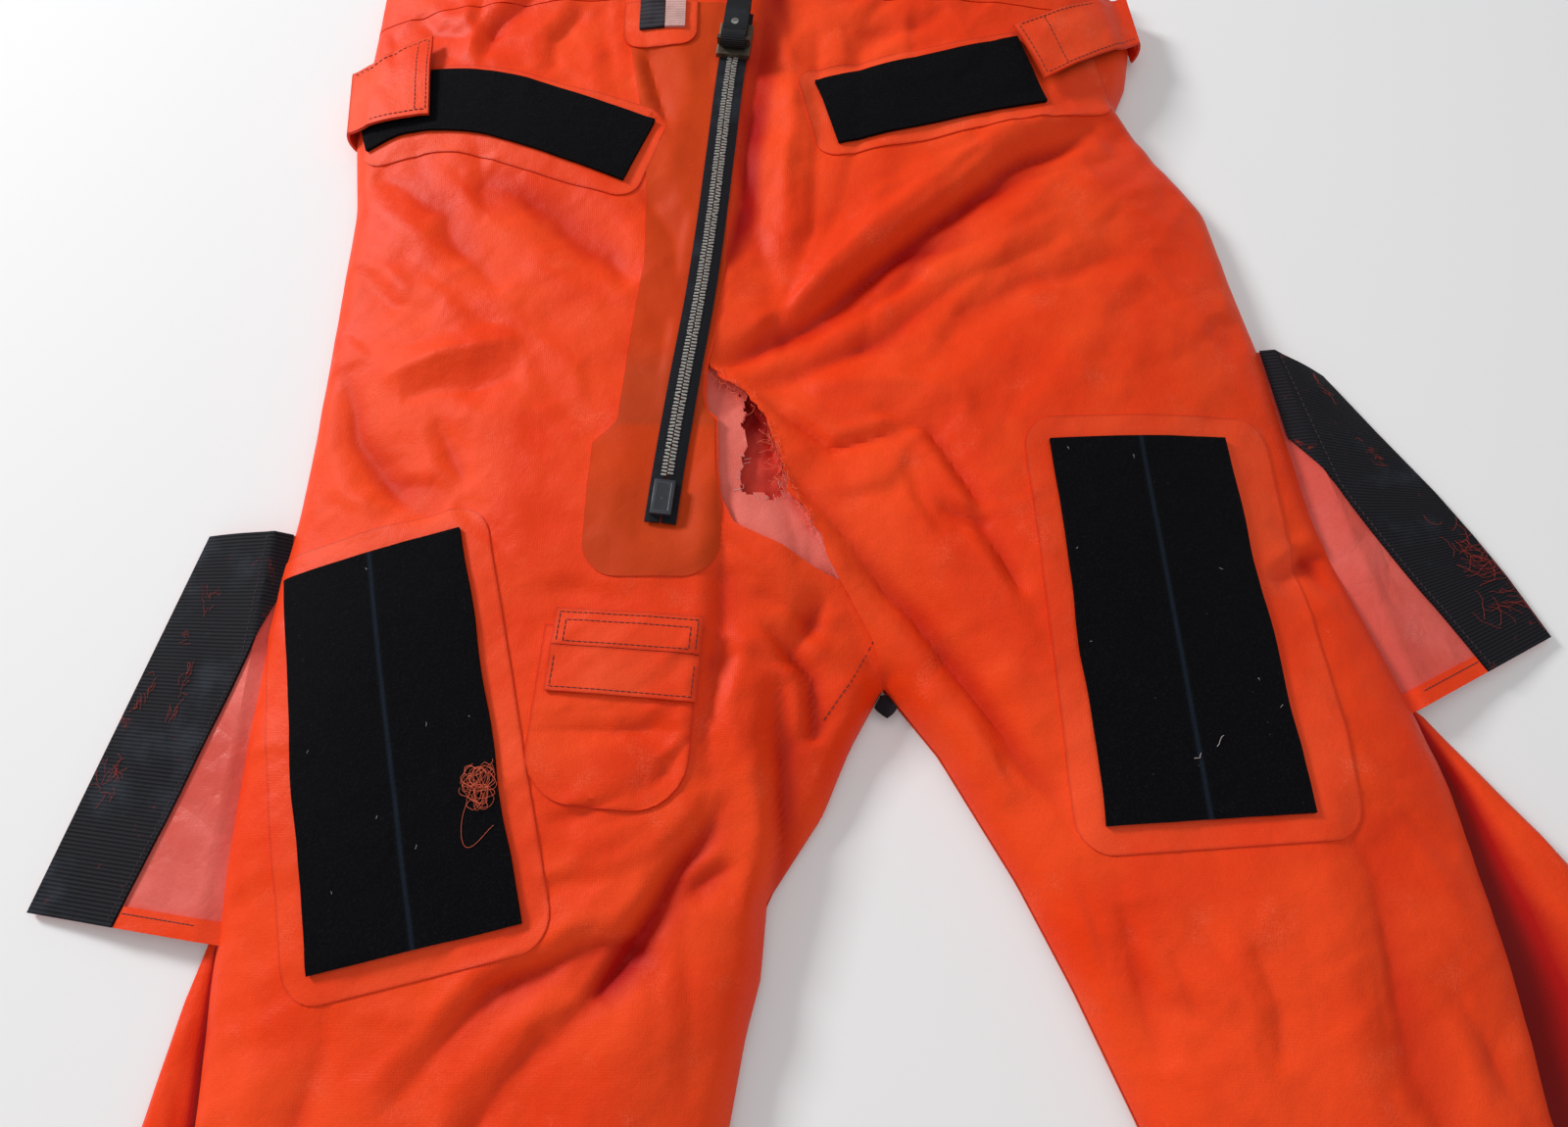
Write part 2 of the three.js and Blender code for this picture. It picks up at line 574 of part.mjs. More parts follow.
// Ends of two webbing straps, in a small patch below the waistband
const webbing = { y0: scaleY(417), black: scaleX(-126), pale: scaleX(-126) + 15 };
add("webbing_patch", laid({ centre: [webbing.black + 5, webbing.y0 + 6], width: 46, length: 36, turn: 0, radius: 12, nx: 3, ny: 2, lift: [2 * GAP + PATCH, 2 * GAP + 2 * PATCH], corners: [1, 1, 0, 0] }), "patch");
add("webbing_end_black", laid({ centre: [webbing.black, webbing.y0 + 12], width: 15.5, length: 23, turn: 0, nx: 1, ny: 2, lift: [3 * GAP + 2 * PATCH, 3 * GAP + 2 * PATCH + 2] }), "strap");
add("webbing_end_pale", laid({ centre: [webbing.pale, webbing.y0 + 12], width: 12.5, length: 23, turn: 0, nx: 1, ny: 2, lift: [3 * GAP + 2 * PATCH, 3 * GAP + 2 * PATCH + 1.6] }), "pale");

// The liner that shows through the torn crotch, with the hole worn in it
{
  const low = scaleY(46),
    high = scaleY(196);
  const liner = sheet(even(5), even(8), (u, v, w) => {
    const y = mix(low, high, v);
    const x = mix(at(lines.tornEdge, y) - 7, at(lines.centreFront, y) + 7, u);
    return [x, y, top(x, y) - CLOTH - 3 * GAP - (w === 0 ? 1.2 : 0)];
  });
  const hole = new THREE.Shape(
    [[-63, 163], [-55, 149], [-46, 112], [-58, 109], [-66, 112], [-60, 140]].map(([x, y]) => new THREE.Vector2(scaleX(x), scaleY(y))),
  );
  const cutter = solid(new THREE.ExtrudeGeometry(hole, { depth: 60, bevelEnabled: false }));
  add("crotch_liner", geometry(solid(liner).subtract(cutter)), "inner");
}
// Gusset that closes the crotch between the legs
add(
  "crotch_gusset",
  sheet(even(4), [0, 0.5, 1], (u, v, w) => {
    const y = scaleY(mix(-15, -1, v));
    const x = mix(at(lines.rightInner, y) + 1.5, at(lines.leftInner, y) - 1.5, u);
    return [x, y, w === 0 ? 3 : 9];
  }),
  "moulded",
);

// Pocket on the right thigh: a base patch with a rounded foot, the sewn top of its flap, and the flap
const pocket = { centre: [thigh.right.centre[0] + TAPE + 65, scaleY(17)], turn: -4.6, width: 76, flap: 44, sewn: 20 };
const onPocket = (a, b) => {
  const r = (pocket.turn * Math.PI) / 180;
  return [pocket.centre[0] + a * Math.cos(r) - b * Math.sin(r), pocket.centre[1] + a * Math.sin(r) + b * Math.cos(r)];
};
add(
  "pocket_bag",
  laid({ centre: onPocket(-3, -32), width: pocket.width + 4, length: 90, turn: pocket.turn, radius: 27, nx: Math.ceil(5 * steeper), ny: Math.ceil(4 * steeper), lift: [GAP, GAP + 1.5], corners: [1, 1, 0, 0] }),
  "shell",
);
const flapLift = [2 * GAP + 1.5, 2 * GAP + 1.5 + FLAP];
add(
  "pocket_flap_root",
  laid({ centre: onPocket(0, (pocket.flap - pocket.sewn) / 2), width: pocket.width, length: pocket.sewn - SEAM, turn: pocket.turn, nx: Math.ceil(5 * steeper), ny: Math.ceil(2 * steeper), lift: flapLift }),
  "shell",
);
add(
  "pocket_flap",
  laid({ centre: onPocket(0, -pocket.sewn / 2), width: pocket.width, length: pocket.flap - pocket.sewn - SEAM, turn: pocket.turn, nx: Math.ceil(5 * steeper), ny: Math.ceil(2 * steeper), lift: flapLift }),
  "shell",
);

// Leg wings: flaps sewn to the outside of each thigh, lying open on the floor, inner face up
const wingZ = 13; // height of the sewn edge
const wing = {
  right: {
    axis: [[-328.5, -120], [-322.5, 93]],
    outer: [[-419, -106], [-391, -6], [-363, 94]],
  },
  left: {
    axis: [[289, -4], [241, 206]],
    outer: [[369, 36], [340, 89], [311, 123], [272, 195]],
  },
};
function wingParts(side) {
  const { axis, outer } = wing[side];
  const right = side === "right";
  const hinge = (v) => [scaleX(mix(axis[0][0], axis[1][0], v)), scaleY(mix(axis[0][1], axis[1][1], v))];
  const n = outer.length - 1;
  const edge = (v) => {
    const i = Math.min(n - 1, Math.floor(v * n)),
      f = v * n - i;
    return [scaleX(mix(outer[i][0], outer[i + 1][0], f)), scaleY(mix(outer[i][1], outer[i + 1][1], f))];
  };
  // a point at distance d in from the outer edge, or the hinge if that is nearer
  const place = (v, share) => {
    const a = hinge(v),
      b = edge(v);
    return [mix(a[0], b[0], share), mix(a[1], b[1], share), mix(wingZ, 1.5, Math.min(1, share * 1.02))];
  };
  const span = (v) => {
    const a = hinge(v),
      b = edge(v);
    return Math.hypot(b[0] - a[0], b[1] - a[1]);
  };
  const piece = (us, vs, from, to, low, high) =>
    sheet(us, vs, (u, v, w) => {
      const s = right ? 1 - u : u; // 0 towards the leg
      const [x, y, z] = place(v, mix(from(v), to(v), s));
      return [x, y, z + (w === 0 ? low : high)];
    });
  const rows = even(n * 3);
  const panel = piece(even(5), rows, () => 0.02, () => 1, -0.8, 0.8);
  const bandIn = (v) => Math.max(0.06, 1 - WING_BAND / span(v));
  const hook = piece(even(3), rows, bandIn, () => 1, 1.1, 1.1 + PILE);
  const hemRows = [0, 0.025, 0.05];
  const hem = piece(even(2), hemRows, () => 0.06, (v) => bandIn(v) - 0.012, 1.1, 2.1);
  return { panel, hook, hem };
}
for (const side of ["right", "left"]) {
  const { panel, hook, hem } = wingParts(side);
  add("wing_panel_" + side, panel, "inner");
  add("wing_hook_" + side, hook, "hook");
  add("wing_hem_" + side, hem, "shell");
}

// The frame's origin is the middle of the footprint, on the floor
group.updateMatrixWorld(true);
const size = new THREE.Box3().setFromObject(group, true);
group.position.set(-(size.min.x + size.max.x) / 2, -(size.min.y + size.max.y) / 2, 0);

export default group;
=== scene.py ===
import math

import bpy
import numpy as np
from mathutils import Matrix, Vector


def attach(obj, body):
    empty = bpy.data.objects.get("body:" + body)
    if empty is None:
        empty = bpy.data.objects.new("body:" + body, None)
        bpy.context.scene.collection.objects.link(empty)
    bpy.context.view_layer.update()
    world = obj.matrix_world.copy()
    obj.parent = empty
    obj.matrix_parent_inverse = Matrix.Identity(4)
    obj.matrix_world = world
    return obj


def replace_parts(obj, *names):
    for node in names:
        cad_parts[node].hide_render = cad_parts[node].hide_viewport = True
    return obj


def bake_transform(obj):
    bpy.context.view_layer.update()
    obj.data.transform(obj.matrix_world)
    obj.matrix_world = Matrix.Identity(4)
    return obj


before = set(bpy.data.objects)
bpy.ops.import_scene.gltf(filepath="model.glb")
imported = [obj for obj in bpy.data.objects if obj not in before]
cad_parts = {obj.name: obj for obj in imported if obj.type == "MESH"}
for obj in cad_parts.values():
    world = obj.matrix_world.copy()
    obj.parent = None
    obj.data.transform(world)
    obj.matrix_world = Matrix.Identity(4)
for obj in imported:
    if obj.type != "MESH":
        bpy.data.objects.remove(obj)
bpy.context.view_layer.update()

drawingOrigin = (-69.493, 128.290)  # mm, the crotch-based drawing inside the frame
rng = np.random.default_rng(7)
print("frame loaded")


# camera, floor and light

view = {"lens": 26, "tilt": 20, "place": (-0.1134, -0.0070, 0.590)}
studio = {
    "floorColour": (0.93, 0.93, 0.94, 1),
    "world": 0.31,
    "lamps": [
        ("keyLamp", (-2.4, 1.75, 1.5), 0.7, 69.0),
        ("topLamp", (0.10, 0.25, 1.9), 2.4, 10.0),
        ("footLamp", (0.15, -1.6, 1.2), 1.4, 2.4),
    ],
}


def addCamera():
    bpy.ops.object.camera_add(
        location=view["place"], rotation=(math.radians(view["tilt"]), 0, 0)
    )
    camera = bpy.context.object
    camera.data.lens = view["lens"]
    camera.data.sensor_width = 36
    camera.data.clip_start = 0.01
    bpy.context.scene.camera = camera


def addFloor():
    bpy.ops.mesh.primitive_plane_add(size=9, location=(0, 0, -0.0004))
    floor = bpy.context.object
    floor.name = "floor"
    paint = bpy.data.materials.new("paleFloor")
    paint.use_nodes = True
    shader = paint.node_tree.nodes["Principled BSDF"]
    shader.inputs["Base Color"].default_value = studio["floorColour"]
    shader.inputs["Roughness"].default_value = 0.9
    floor.data.materials.append(paint)


def addLights():
    world = bpy.data.worlds.new("studioWorld")
    world.use_nodes = True
    world.node_tree.nodes["Background"].inputs[0].default_value = (1, 1, 1, 1)
    world.node_tree.nodes["Background"].inputs[1].default_value = studio["world"]
    bpy.context.scene.world = world
    for name, place, size, power in studio["lamps"]:
        bpy.ops.object.light_add(type="AREA", location=place)
        lamp = bpy.context.object
        lamp.name = name
        lamp.data.size = size
        lamp.data.energy = power
        aim = Vector((-0.05, 0.1, 0)) - Vector(place)
        lamp.rotation_euler = aim.to_track_quat("-Z", "Y").to_euler()
    bpy.context.scene.view_settings.view_transform = "Standard"


addCamera()
addFloor()
addLights()
print("studio set")


# drawing: outlines in mm as (y, x) from the waist down, y from the crotch

outline = {
    "rightFront": [
        (485, -309), (422, -313), (359, -315), (307, -308), (154, -311), (100, -314), (72, -318),
        (28, -321), (-39, -322), (-106, -322), (-137, -321), (-201, -317), (-260, -324), (-340, -345),
        (-420, -371), (-500, -392), (-600, -405), (-760, -425)
    ],
    "rightBack": [
        (485, -309), (422, -313), (359, -315), (307, -308), (154, -311), (100, -314), (72, -318),
        (28, -321), (-39, -322), (-106, -323), (-146, -333), (-201, -343), (-300, -362), (-400, -378),
        (-500, -392), (-600, -405), (-760, -425)
    ],
    "rightInner": [
        (20, 12), (6, 8), (-24, -9), (-59, -24), (-101, -52), (-137, -55), (-163, -62), (-201, -69),
        (-300, -88), (-400, -112), (-500, -138), (-600, -165), (-760, -207)
    ],
    "leftFront": [
        (485, 172), (437, 183), (405, 177), (382, 167), (340, 191), (304, 215), (251, 225), (205, 235),
        (148, 243), (100, 250), (60, 262), (1, 282), (-44, 296), (-106, 305), (-146, 310), (-201, 312),
        (-260, 334), (-320, 369), (-380, 410), (-440, 454), (-500, 498), (-550, 527), (-600, 542),
        (-760, 582)
    ],
    "leftBack": [
        (485, 172), (437, 183), (405, 177), (382, 167), (340, 191), (304, 215), (251, 225), (205, 235),
        (148, 243), (100, 250), (60, 262), (1, 282), (-8, 292), (-47, 321), (-81, 347), (-115, 373),
        (-150, 398), (-200, 422), (-300, 456), (-400, 487), (-500, 515), (-600, 542), (-760, 582)
    ],
    "leftInner": [
        (20, 0), (6, 9), (-29, 36), (-92, 72), (-142, 96), (-201, 121), (-300, 162), (-400, 204),
        (-500, 246), (-600, 287), (-760, 350)
    ],
    "centreFront": [
        (485, -56), (344, -62), (200, -82), (182, -85), (172, -76), (165, -66), (150, -54), (132, -49),
        (109, -41), (95, -33), (56, -14), (27, 2), (6, 8.5)
    ],
    "tornEdge": [
        (485, -56), (344, -62), (200, -82), (180, -86), (165, -87), (154, -85), (150, -80), (118, -79),
        (100, -76), (88, -70), (81, -57), (75, -44), (66, -29), (56, -15), (30, -3), (6, 8.5)
    ],
    "centreBack": [(485, -56), (200, -40), (60, -6), (6, 8.5)],
}
drawn = {
    "ceiling": 45.5,  # no fold rises above this
    "waist": 485, "band": 40, "leg": 720, "crown": 40,
    "thighCrown": 35, "cuffCrown": 24, "shoulder": 14, "roll": 13, "hem": 22,
    "legTilt": {"right": 0.06, "left": 0.125},
}


def at(name, y):
    line = outline[name]
    ys = [p[0] for p in reversed(line)]
    xs = [p[1] for p in reversed(line)]
    return np.interp(y, ys, xs)


def eased(name, y, reach=24):
    return sum(at(name, y + d * reach) for d in (-1, -0.5, 0, 0.5, 1)) / 5


def mix(a, b, t):
    return a + (b - a) * t


def ramp(a, b, v):
    t = np.clip((v - a) / (b - a), 0, 1)
    return t * t * (3 - 2 * t)


def cuffTilt(side, y):
    return np.where(y > 0, y, y * (1 - drawn["legTilt"][side] * (-y / drawn["leg"])))


# soft noise, the same on every run

def softNoise(x, y, cell, seed):
    grid = np.random.default_rng(seed).random((256, 256)) * 2 - 1
    gx, gy = x / cell + 97.3, y / cell + 61.7
    ix, iy = np.floor(gx).astype(int), np.floor(gy).astype(int)
    fx, fy = gx - ix, gy - iy
    fx, fy = fx * fx * fx * (fx * (fx * 6 - 15) + 10), fy * fy * fy * (fy * (fy * 6 - 15) + 10)
    pick = lambda a, b: grid[(ix + a) % 256, (iy + b) % 256]
    return mix(mix(pick(0, 0), pick(1, 0), fx), mix(pick(0, 1), pick(1, 1), fx), fy)


def turned(x, y, degrees, stretch):
    c, s = math.cos(math.radians(degrees)), math.sin(math.radians(degrees))
    return (x * c + y * s) / stretch, -x * s + y * c


def creases(x, y, degrees, stretch, cell, seed):
    a, b = turned(x, y, degrees, stretch)
    n = softNoise(a, b, cell, seed) + 0.5 * softNoise(a, b, cell * 0.47, seed + 1)
    return 1 - np.abs(n) * 2  # sharp ridges where the noise changes sign


# folds: (points in mm, half width, height, lean), a valley where height is below 0.
# Where lean is 1, the side away from the light is the steep one

foldDepth = 1.75  # scales the heights below
folds = [
    # the outer side of the wearer's right hip and thigh
    ([(-130, 404), (-122, 372), (-115, 344)], 5, -3.2, 1),
    ([(-292, 330), (-252, 292), (-205, 232)], 15, -3.0, 1),
    ([(-222, 318), (-180, 285), (-128, 236)], 17, -3.4, 1),
    ([(-160, 330), (-120, 290), (-96, 232)], 13, -2.2, 1),
    ([(-298, 192), (-283, 143), (-250, 107), (-224, 96)], 13, -3.6, 1),
    ([(-268, 182), (-232, 192), (-194, 199)], 7, 2.2, 0),
    ([(-258, 168), (-225, 172), (-188, 178)], 9, -2.0, 0),
    ([(-236, 152), (-226, 130), (-212, 110)], 7, -2.4, 1),
    ([(-300, 260), (-270, 232), (-240, 222)], 9, -1.8, 1),
    # wearer's right inner thigh
    ([(-52, 34), (-43, 23), (-30, 6), (-29, -24)], 5, -3.6, 1),
    ([(-46, 8), (-45, -34), (-46, -88), (-50, -126)], 9, -4.6, 1),
    ([(-90, -98), (-80, -90), (-68, -84)], 5, -2.4, 1),
    ([(-114, -119), (-122, -132), (-132, -146)], 5, -3.0, 1),
    ([(-78, -62), (-116, -119), (-178, -143), (-222, -194)], 9, -3.4, 1),
    ([(-70, -44), (-94, -88), (-124, -136), (-154, -168)], 10, -2.6, 1),
    ([(-152, -160), (-182, -196), (-205, -235)], 9, -3.0, 1),
    ([(-154, -64), (-128, -55), (-107, -45), (-90, -25)], 3.0, -1.6, 1),
    ([(-79, 112), (-75, 52), (-80, 6), (-84, -48)], 8, -2.8, 1),
    ([(-40, 22), (-30, 40), (-22, 52)], 4, -2.4, 0),
    ([(-60, 52), (-40, 44), (-14, 30)], 5, -2.2, 0),
    ([(-62, 30), (-70, -5), (-62, -45)], 7, 2.2, 0),
    ([(-250, -150), (-262, -190), (-270, -240)], 14, -2.4, 1),
    # fold to the left hip, from the top of the tear
    ([(-74, 182), (-34, 209), (20, 256), (87, 313), (150, 360)], 9, -5.2, 1),
    ([(-60, 206), (-46, 218), (0, 266), (62, 322), (126, 366)], 8, 3.4, 0),
    ([(-80, 182), (-58, 198), (-46, 216), (-37, 240)], 7, -2.2, 0),
    ([(-60, 166), (-22, 183), (19, 204), (63, 241), (120, 271)], 10, -3.4, 1),
    ([(40, 205), (95, 238), (170, 262)], 15, -2.2, 1),
    ([(-70, 430), (-72, 344), (-64, 295), (-52, 226)], 15, -2.8, 0),
    ([(-36, 420), (-40, 352), (-41, 285), (-45, 236)], 10, 1.5, 0),
    ([(-22, 420), (-23, 330), (-26, 285), (-37, 240)], 6, -2.2, 0),
    ([(6, 420), (-2, 330), (-14, 276), (-34, 234)], 8, -1.6, 0),
    ([(-52, 158), (-18, 133), (12, 140), (26, 143)], 5, -3.2, 1),
    ([(6, 156), (33, 143), (51, 112), (62, 94)], 5, -3.0, 1),
    ([(-30, 168), (20, 172), (60, 158)], 10, 2.0, 0),
    ([(38, 97), (50, 92), (65, 88)], 5, -2.6, 1),
    ([(57, 89), (68, 70), (80, 48)], 5, -2.8, 1),
    ([(-44, 122), (0, 66), (41, 13), (73, -31), (100, -70)], 8, -3.4, 1),
    ([(-8, 48), (26, 2), (58, -46)], 8, 2.2, 0),
    ([(212, 60), (232, 72), (252, 84)], 6, -3.4, 1),
    ([(236, -50), (236, -119), (242, -190), (262, -260)], 18, -3.2, 1),
    ([(117, -104), (124, -138), (131, -176)], 12, -2.8, 1),
    ([(176, -122), (184, -150), (182, -176)], 8, -2.2, 1),
    ([(168, 376), (120, 352), (70, 340)], 7, 2.0, 0),
    ([(60, 440), (30, 425), (-8, 420)], 10, -2.4, 1),
    ([(-200, 455), (-225, 430), (-232, 405)], 8, -3.0, 1),
    ([(-170, 440), (-190, 415), (-186, 392)], 8, -2.4, 1),
    ([(-280, 448), (-268, 430), (-240, 420)], 9, -2.2, 1),
    # lower legs
    ([(-240, -260), (-215, -330), (-232, -400)], 15, -4.0, 1),
    ([(-330, -330), (-290, -380), (-250, -398)], 13, -4.4, 1),
    ([(-150, -300), (-180, -360), (-215, -395)], 12, -4.0, 1),
    ([(-370, -440), (-300, -462), (-230, -450), (-170, -470)], 11, -5.0, 1),
    ([(-350, -520), (-300, -560), (-240, -570)], 13, -4.2, 1),
    ([(-290, -600), (-270, -650), (-280, -700)], 14, -3.4, 1),
    ([(200, -250), (245, -300), (300, -330)], 14, -4.0, 1),
    ([(190, -330), (250, -372), (330, -380)], 13, -4.8, 1),
    ([(300, -420), (350, -440), (420, -430)], 12, -4.8, 1),
    ([(290, -480), (350, -520), (400, -590)], 14, -4.2, 1),
    ([(450, -520), (430, -580), (450, -660)], 14, -3.8, 1),
]


def strayFolds(count):
    # small creases that follow the pull of the crotch and the line of each leg
    r = np.random.default_rng(17)
    made = []
    while len(made) < count:
        x, y = r.uniform(-330, 440), r.uniform(-690, 450)
        lower = y < -230
        inside = at("rightFront", y) + 10 < x < at("leftFront", y) - 10
        if y < 0 and at("rightInner", y) - 12 < x < at("leftInner", y) + 12 or not inside:
            continue
        if x > -40 and y > 110:
            angle = 38
        elif x > 0:
            angle = -58 if not lower else r.choice([-50, 5, 40])
        else:
            angle = math.degrees(math.atan2(y - 6, x - 8)) if not lower else r.choice([60, -5, -40])
        angle = math.radians(angle + r.normal(0, 15))
        half, bend = r.uniform(16, 46), r.normal(0, 5)
        c, t = math.cos(angle), math.sin(angle)
        ends = [(x - c * half, y - t * half), (x - t * bend, y + c * bend), (x + c * half, y + t * half)]
        height = r.uniform(0.7, 2.0) * (1.35 if lower else 1) * (-1 if r.random() < 0.7 else 0.8)
        made.append((ends, r.uniform(4, 9), height, r.choice([-1, 1])))
    return made


def foldField(x, y):
    rise = np.zeros_like(x)
    placed = [(points, wide, foldDepth * height, lean) for points, wide, height, lean in folds]
    for points, wide, height, lean in placed + strayFolds(240):
        px, py = [p[0] for p in points], [p[1] for p in points]
        reach = wide * 5.5
        near = (x > min(px) - reach) & (x < max(px) + reach) & (y > min(py) - reach) & (y < max(py) + reach)
        if not near.any():
            continue
        qx, qy = x[near], y[near]
        wobble = softNoise(qx, qy, 26, 31) * wide * 0.28
        best = np.full(qx.shape, 1e9)
        signed, along = np.zeros_like(qx), np.zeros_like(qx)
        lengths = [math.dist(a, b) for a, b in zip(points, points[1:])]
        total, before = sum(lengths), 0
        for (ax, ay), (bx, by), length in zip(points, points[1:], lengths):
            tx, ty = (bx - ax) / length, (by - ay) / length
            s = np.clip((qx - ax) * tx + (qy - ay) * ty, 0, length)
            dx, dy = qx - ax - tx * s, qy - ay - ty * s
            d = np.hypot(dx, dy)
            closer = d < best
            best = np.where(closer, d, best)
            signed = np.where(closer, np.copysign(d, tx * dy - ty * dx), signed)
            along = np.where(closer, (before + s) / total, along)
            before += length
        signed = signed + wobble
        fade = np.clip(4 * along * (1 - along), 0, 1) ** 0.5 * 0.85 + 0.15
        if lean:
            # the steep side of a crease turns away from the light at the upper left
            (ax, ay), (bx, by) = points[0], points[-1]
            toLight = (ay - by) * -0.75 + (bx - ax) * 0.6
            steep = np.sign(toLight) * (1 if height < 0 else -1)
            slope = np.where(signed * steep > 0, 0.6 * wide, 2.0 * wide)
        else:
            slope = 1.1 * wide
        bend = 0.09 * wide + 0.6
        away = (np.sqrt(signed**2 + bend**2) - bend) / slope
        shape = np.exp(-1.25 * away) - 0.22 * np.exp(-(((away - 2.1) / 0.9) ** 2))
        rise[near] += height * fade * shape
    return rise


# where tape is sewn on, the cloth is held flat

thigh = {
    "right": {"centre": (-239, -25), "turn": 13.3, "shift": 0, "extra": 28},
    "left": {"centre": (155, 37), "turn": 3.6, "shift": 6, "extra": 40},
}
tape = {"wide": 50, "long": 204, "pile": 2.0}
waistLine = {
    "right": [(-309, 364), (-285, 372), (-258, 372), (-222, 365), (-188, 351), (-130, 326)],
    "left": [(-18, 354.5), (45, 372), (110, 393.5)],
}
waistPatchLine = {
    "right": [(-308, 362), (-258, 368), (-222, 361), (-188, 347), (-122, 322)],
    "left": [(-30, 353), (45, 371), (109, 389), (156, 403)],
}
waistWide = {"right": 45, "left": 50}


def heldFlat(x, y):
    held = np.zeros_like(x)
    for side in ("right", "left"):
        cx, cy = thigh[side]["centre"]
        a, b = turned(x - cx, y - cy, thigh[side]["turn"], 1)
        held = np.maximum(held, (1 - ramp(48, 66, np.abs(a))) * (1 - ramp(98, 118, np.abs(b))))
        ys = np.interp(x, [p[0] for p in waistLine[side]], [p[1] for p in waistLine[side]])
        xs = [p[0] for p in waistLine[side]]
        inside = (1 - ramp(max(xs), max(xs) + 18, x)) * ramp(min(xs) - 14, min(xs), x)
        held = np.maximum(held, (1 - ramp(22, 38, np.abs(y - ys))) * inside)
    return held


def wrinkleField(x, y):
    calm = 1 - 0.75 * heldFlat(x, y)
    lower = ramp(-150, -420, y)
    broad = 1.9 * softNoise(x, y, 78, 11) + 0.8 * softNoise(x, y, 41, 12)
    middle = 0.2 * softNoise(x, y, 21, 15)
    diagonal = creases(x, y, 52, 3.2, 34, 21) * ramp(60, 200, y) * ramp(-120, 20, x)
    other = creases(x, y, -48, 3.0, 36, 23) * (1 - ramp(-60, 60, x))
    legs = creases(x, y, -62, 2.6, 40, 25) * ramp(40, -120, y)
    cross = creases(x, y, 12, 2.6, 44, 27) * lower
    small = creases(x, y, 35, 1.8, 19, 33) * 0.35
    fine = 0.20 * softNoise(x, y, 12, 13) + 0.08 * softNoise(x, y, 6, 14)
    return calm * (broad + middle + 0.8 * diagonal + 0.7 * other + 0.7 * legs + 1.5 * cross + small + fine)


def mapped(field, step=1.5, low=(-440, -790), size=(700, 860)):
    # works a field out once on a fine grid and reads it back smoothly
    gx, gy = np.meshgrid(
        low[0] + step * np.arange(size[0]), low[1] + step * np.arange(size[1]), indexing="ij"
    )
    grid = field(gx, gy)

    def read(x, y):
        u = np.clip((np.asarray(x, float) - low[0]) / step, 0, size[0] - 1.001)
        v = np.clip((np.asarray(y, float) - low[1]) / step, 0, size[1] - 1.001)
        i, j = u.astype(int), v.astype(int)
        fu, fv = u - i, v - j
        return mix(mix(grid[i, j], grid[i + 1, j], fu), mix(grid[i, j + 1], grid[i + 1, j + 1], fu), fv)
    return read


foldHeight = mapped(foldField)
wrinkles = mapped(wrinkleField)
print("folds worked out")


def frontHeight(x, y):
    l, r = eased("rightFront", y), eased("leftFront", y)

    def arch(a, b, crown):
        t = np.minimum(1, np.abs((2 * x - a - b) / (b - a)))
        return drawn["shoulder"] + (crown - drawn["shoulder"]) * (1 - t**4)

    fold, above = 11 - 0.508 * y, ramp(-26, 26, y)
    ir = mix(eased("rightInner", np.minimum(y, 20)), fold, above)
    il = mix(eased("leftInner", np.minimum(y, 20)), fold, above)
    crown = drawn["thighCrown"] + (drawn["cuffCrown"] - drawn["thighCrown"]) * ramp(0, -drawn["leg"], y)
    leg = np.where(x < (ir + il) / 2, arch(l, ir, crown), arch(il, r, crown))
    w = ramp(-10, 85, y)
    return leg * (1 - w) + arch(l, r, drawn["crown"]) * w


def edgeRoll(x, y):
    outer = np.minimum(x - eased("rightFront", y, 5), eased("leftFront", y, 5) - x)
    rightLeg = x < (at("rightInner", np.minimum(y, 6)) + at("leftInner", np.minimum(y, 6))) / 2
    inner = np.where(rightLeg, eased("rightInner", y, 4) - x, x - eased("leftInner", y, 4))
    inner = np.where(y > 6, np.hypot(x - 8.5, y - 6), inner)
    d = np.clip(np.minimum(outer, inner) / drawn["roll"], 0, 1)
    return np.sqrt(np.maximum(0, 1 - (1 - d) ** 2))


def crotchStep(x, y, side):
    # the left leg's cloth lies over the right's along the crotch seam
    d = x - at("centreFront", y)
    span = ramp(-4, 18, y) * (1 - ramp(165, 200, y))
    under = -np.exp(-((np.minimum(d, 0) / 20) ** 2)) * 2.6
    over = np.exp(-((np.maximum(d, 0) / 16) ** 2)) * 2.8
    if side is None:
        return np.where(d >= 0, over, under) * span
    return (under if side == "right" else over) * span


zipLine = {
    "foot": (-106, 111), "tilt": math.atan2(31, 286), "height": 41.678, "wide": 17, "rows": 312, "bow": 2.6
}


def zipX(y):
    return zipLine["foot"][0] + math.tan(zipLine["tilt"]) * (y - zipLine["foot"][1])


def zipBow(y):
    # the sewn tape wanders a little off the slider's straight path
    return zipLine["bow"] * np.sin(np.pi * np.clip(y / 285, 0, 1)) ** 2


def surface(x, y, lift=0.0, side=None):
    x, y = np.asarray(x, float), np.asarray(y, float)
    roll = edgeRoll(x, y)
    calm = 1 - 0.6 * heldFlat(x, y)
    shape = frontHeight(x, y) + foldHeight(x, y) * calm + wrinkles(x, y) + crotchStep(x, y, side)
    shape = np.minimum(shape, drawn["ceiling"])
    off = np.abs(x - zipX(y))
    bed = (1 - ramp(10, 30, off)) * ramp(70, 92, y)
    shape = mix(shape, np.minimum(shape, zipLine["height"] - 2.0), bed)
    shape = mix(shape, zipLine["height"] - 2.4, bed * (1 - ramp(9, 16, off)))
    return 3.4 + (shape - 3.4) * roll + lift


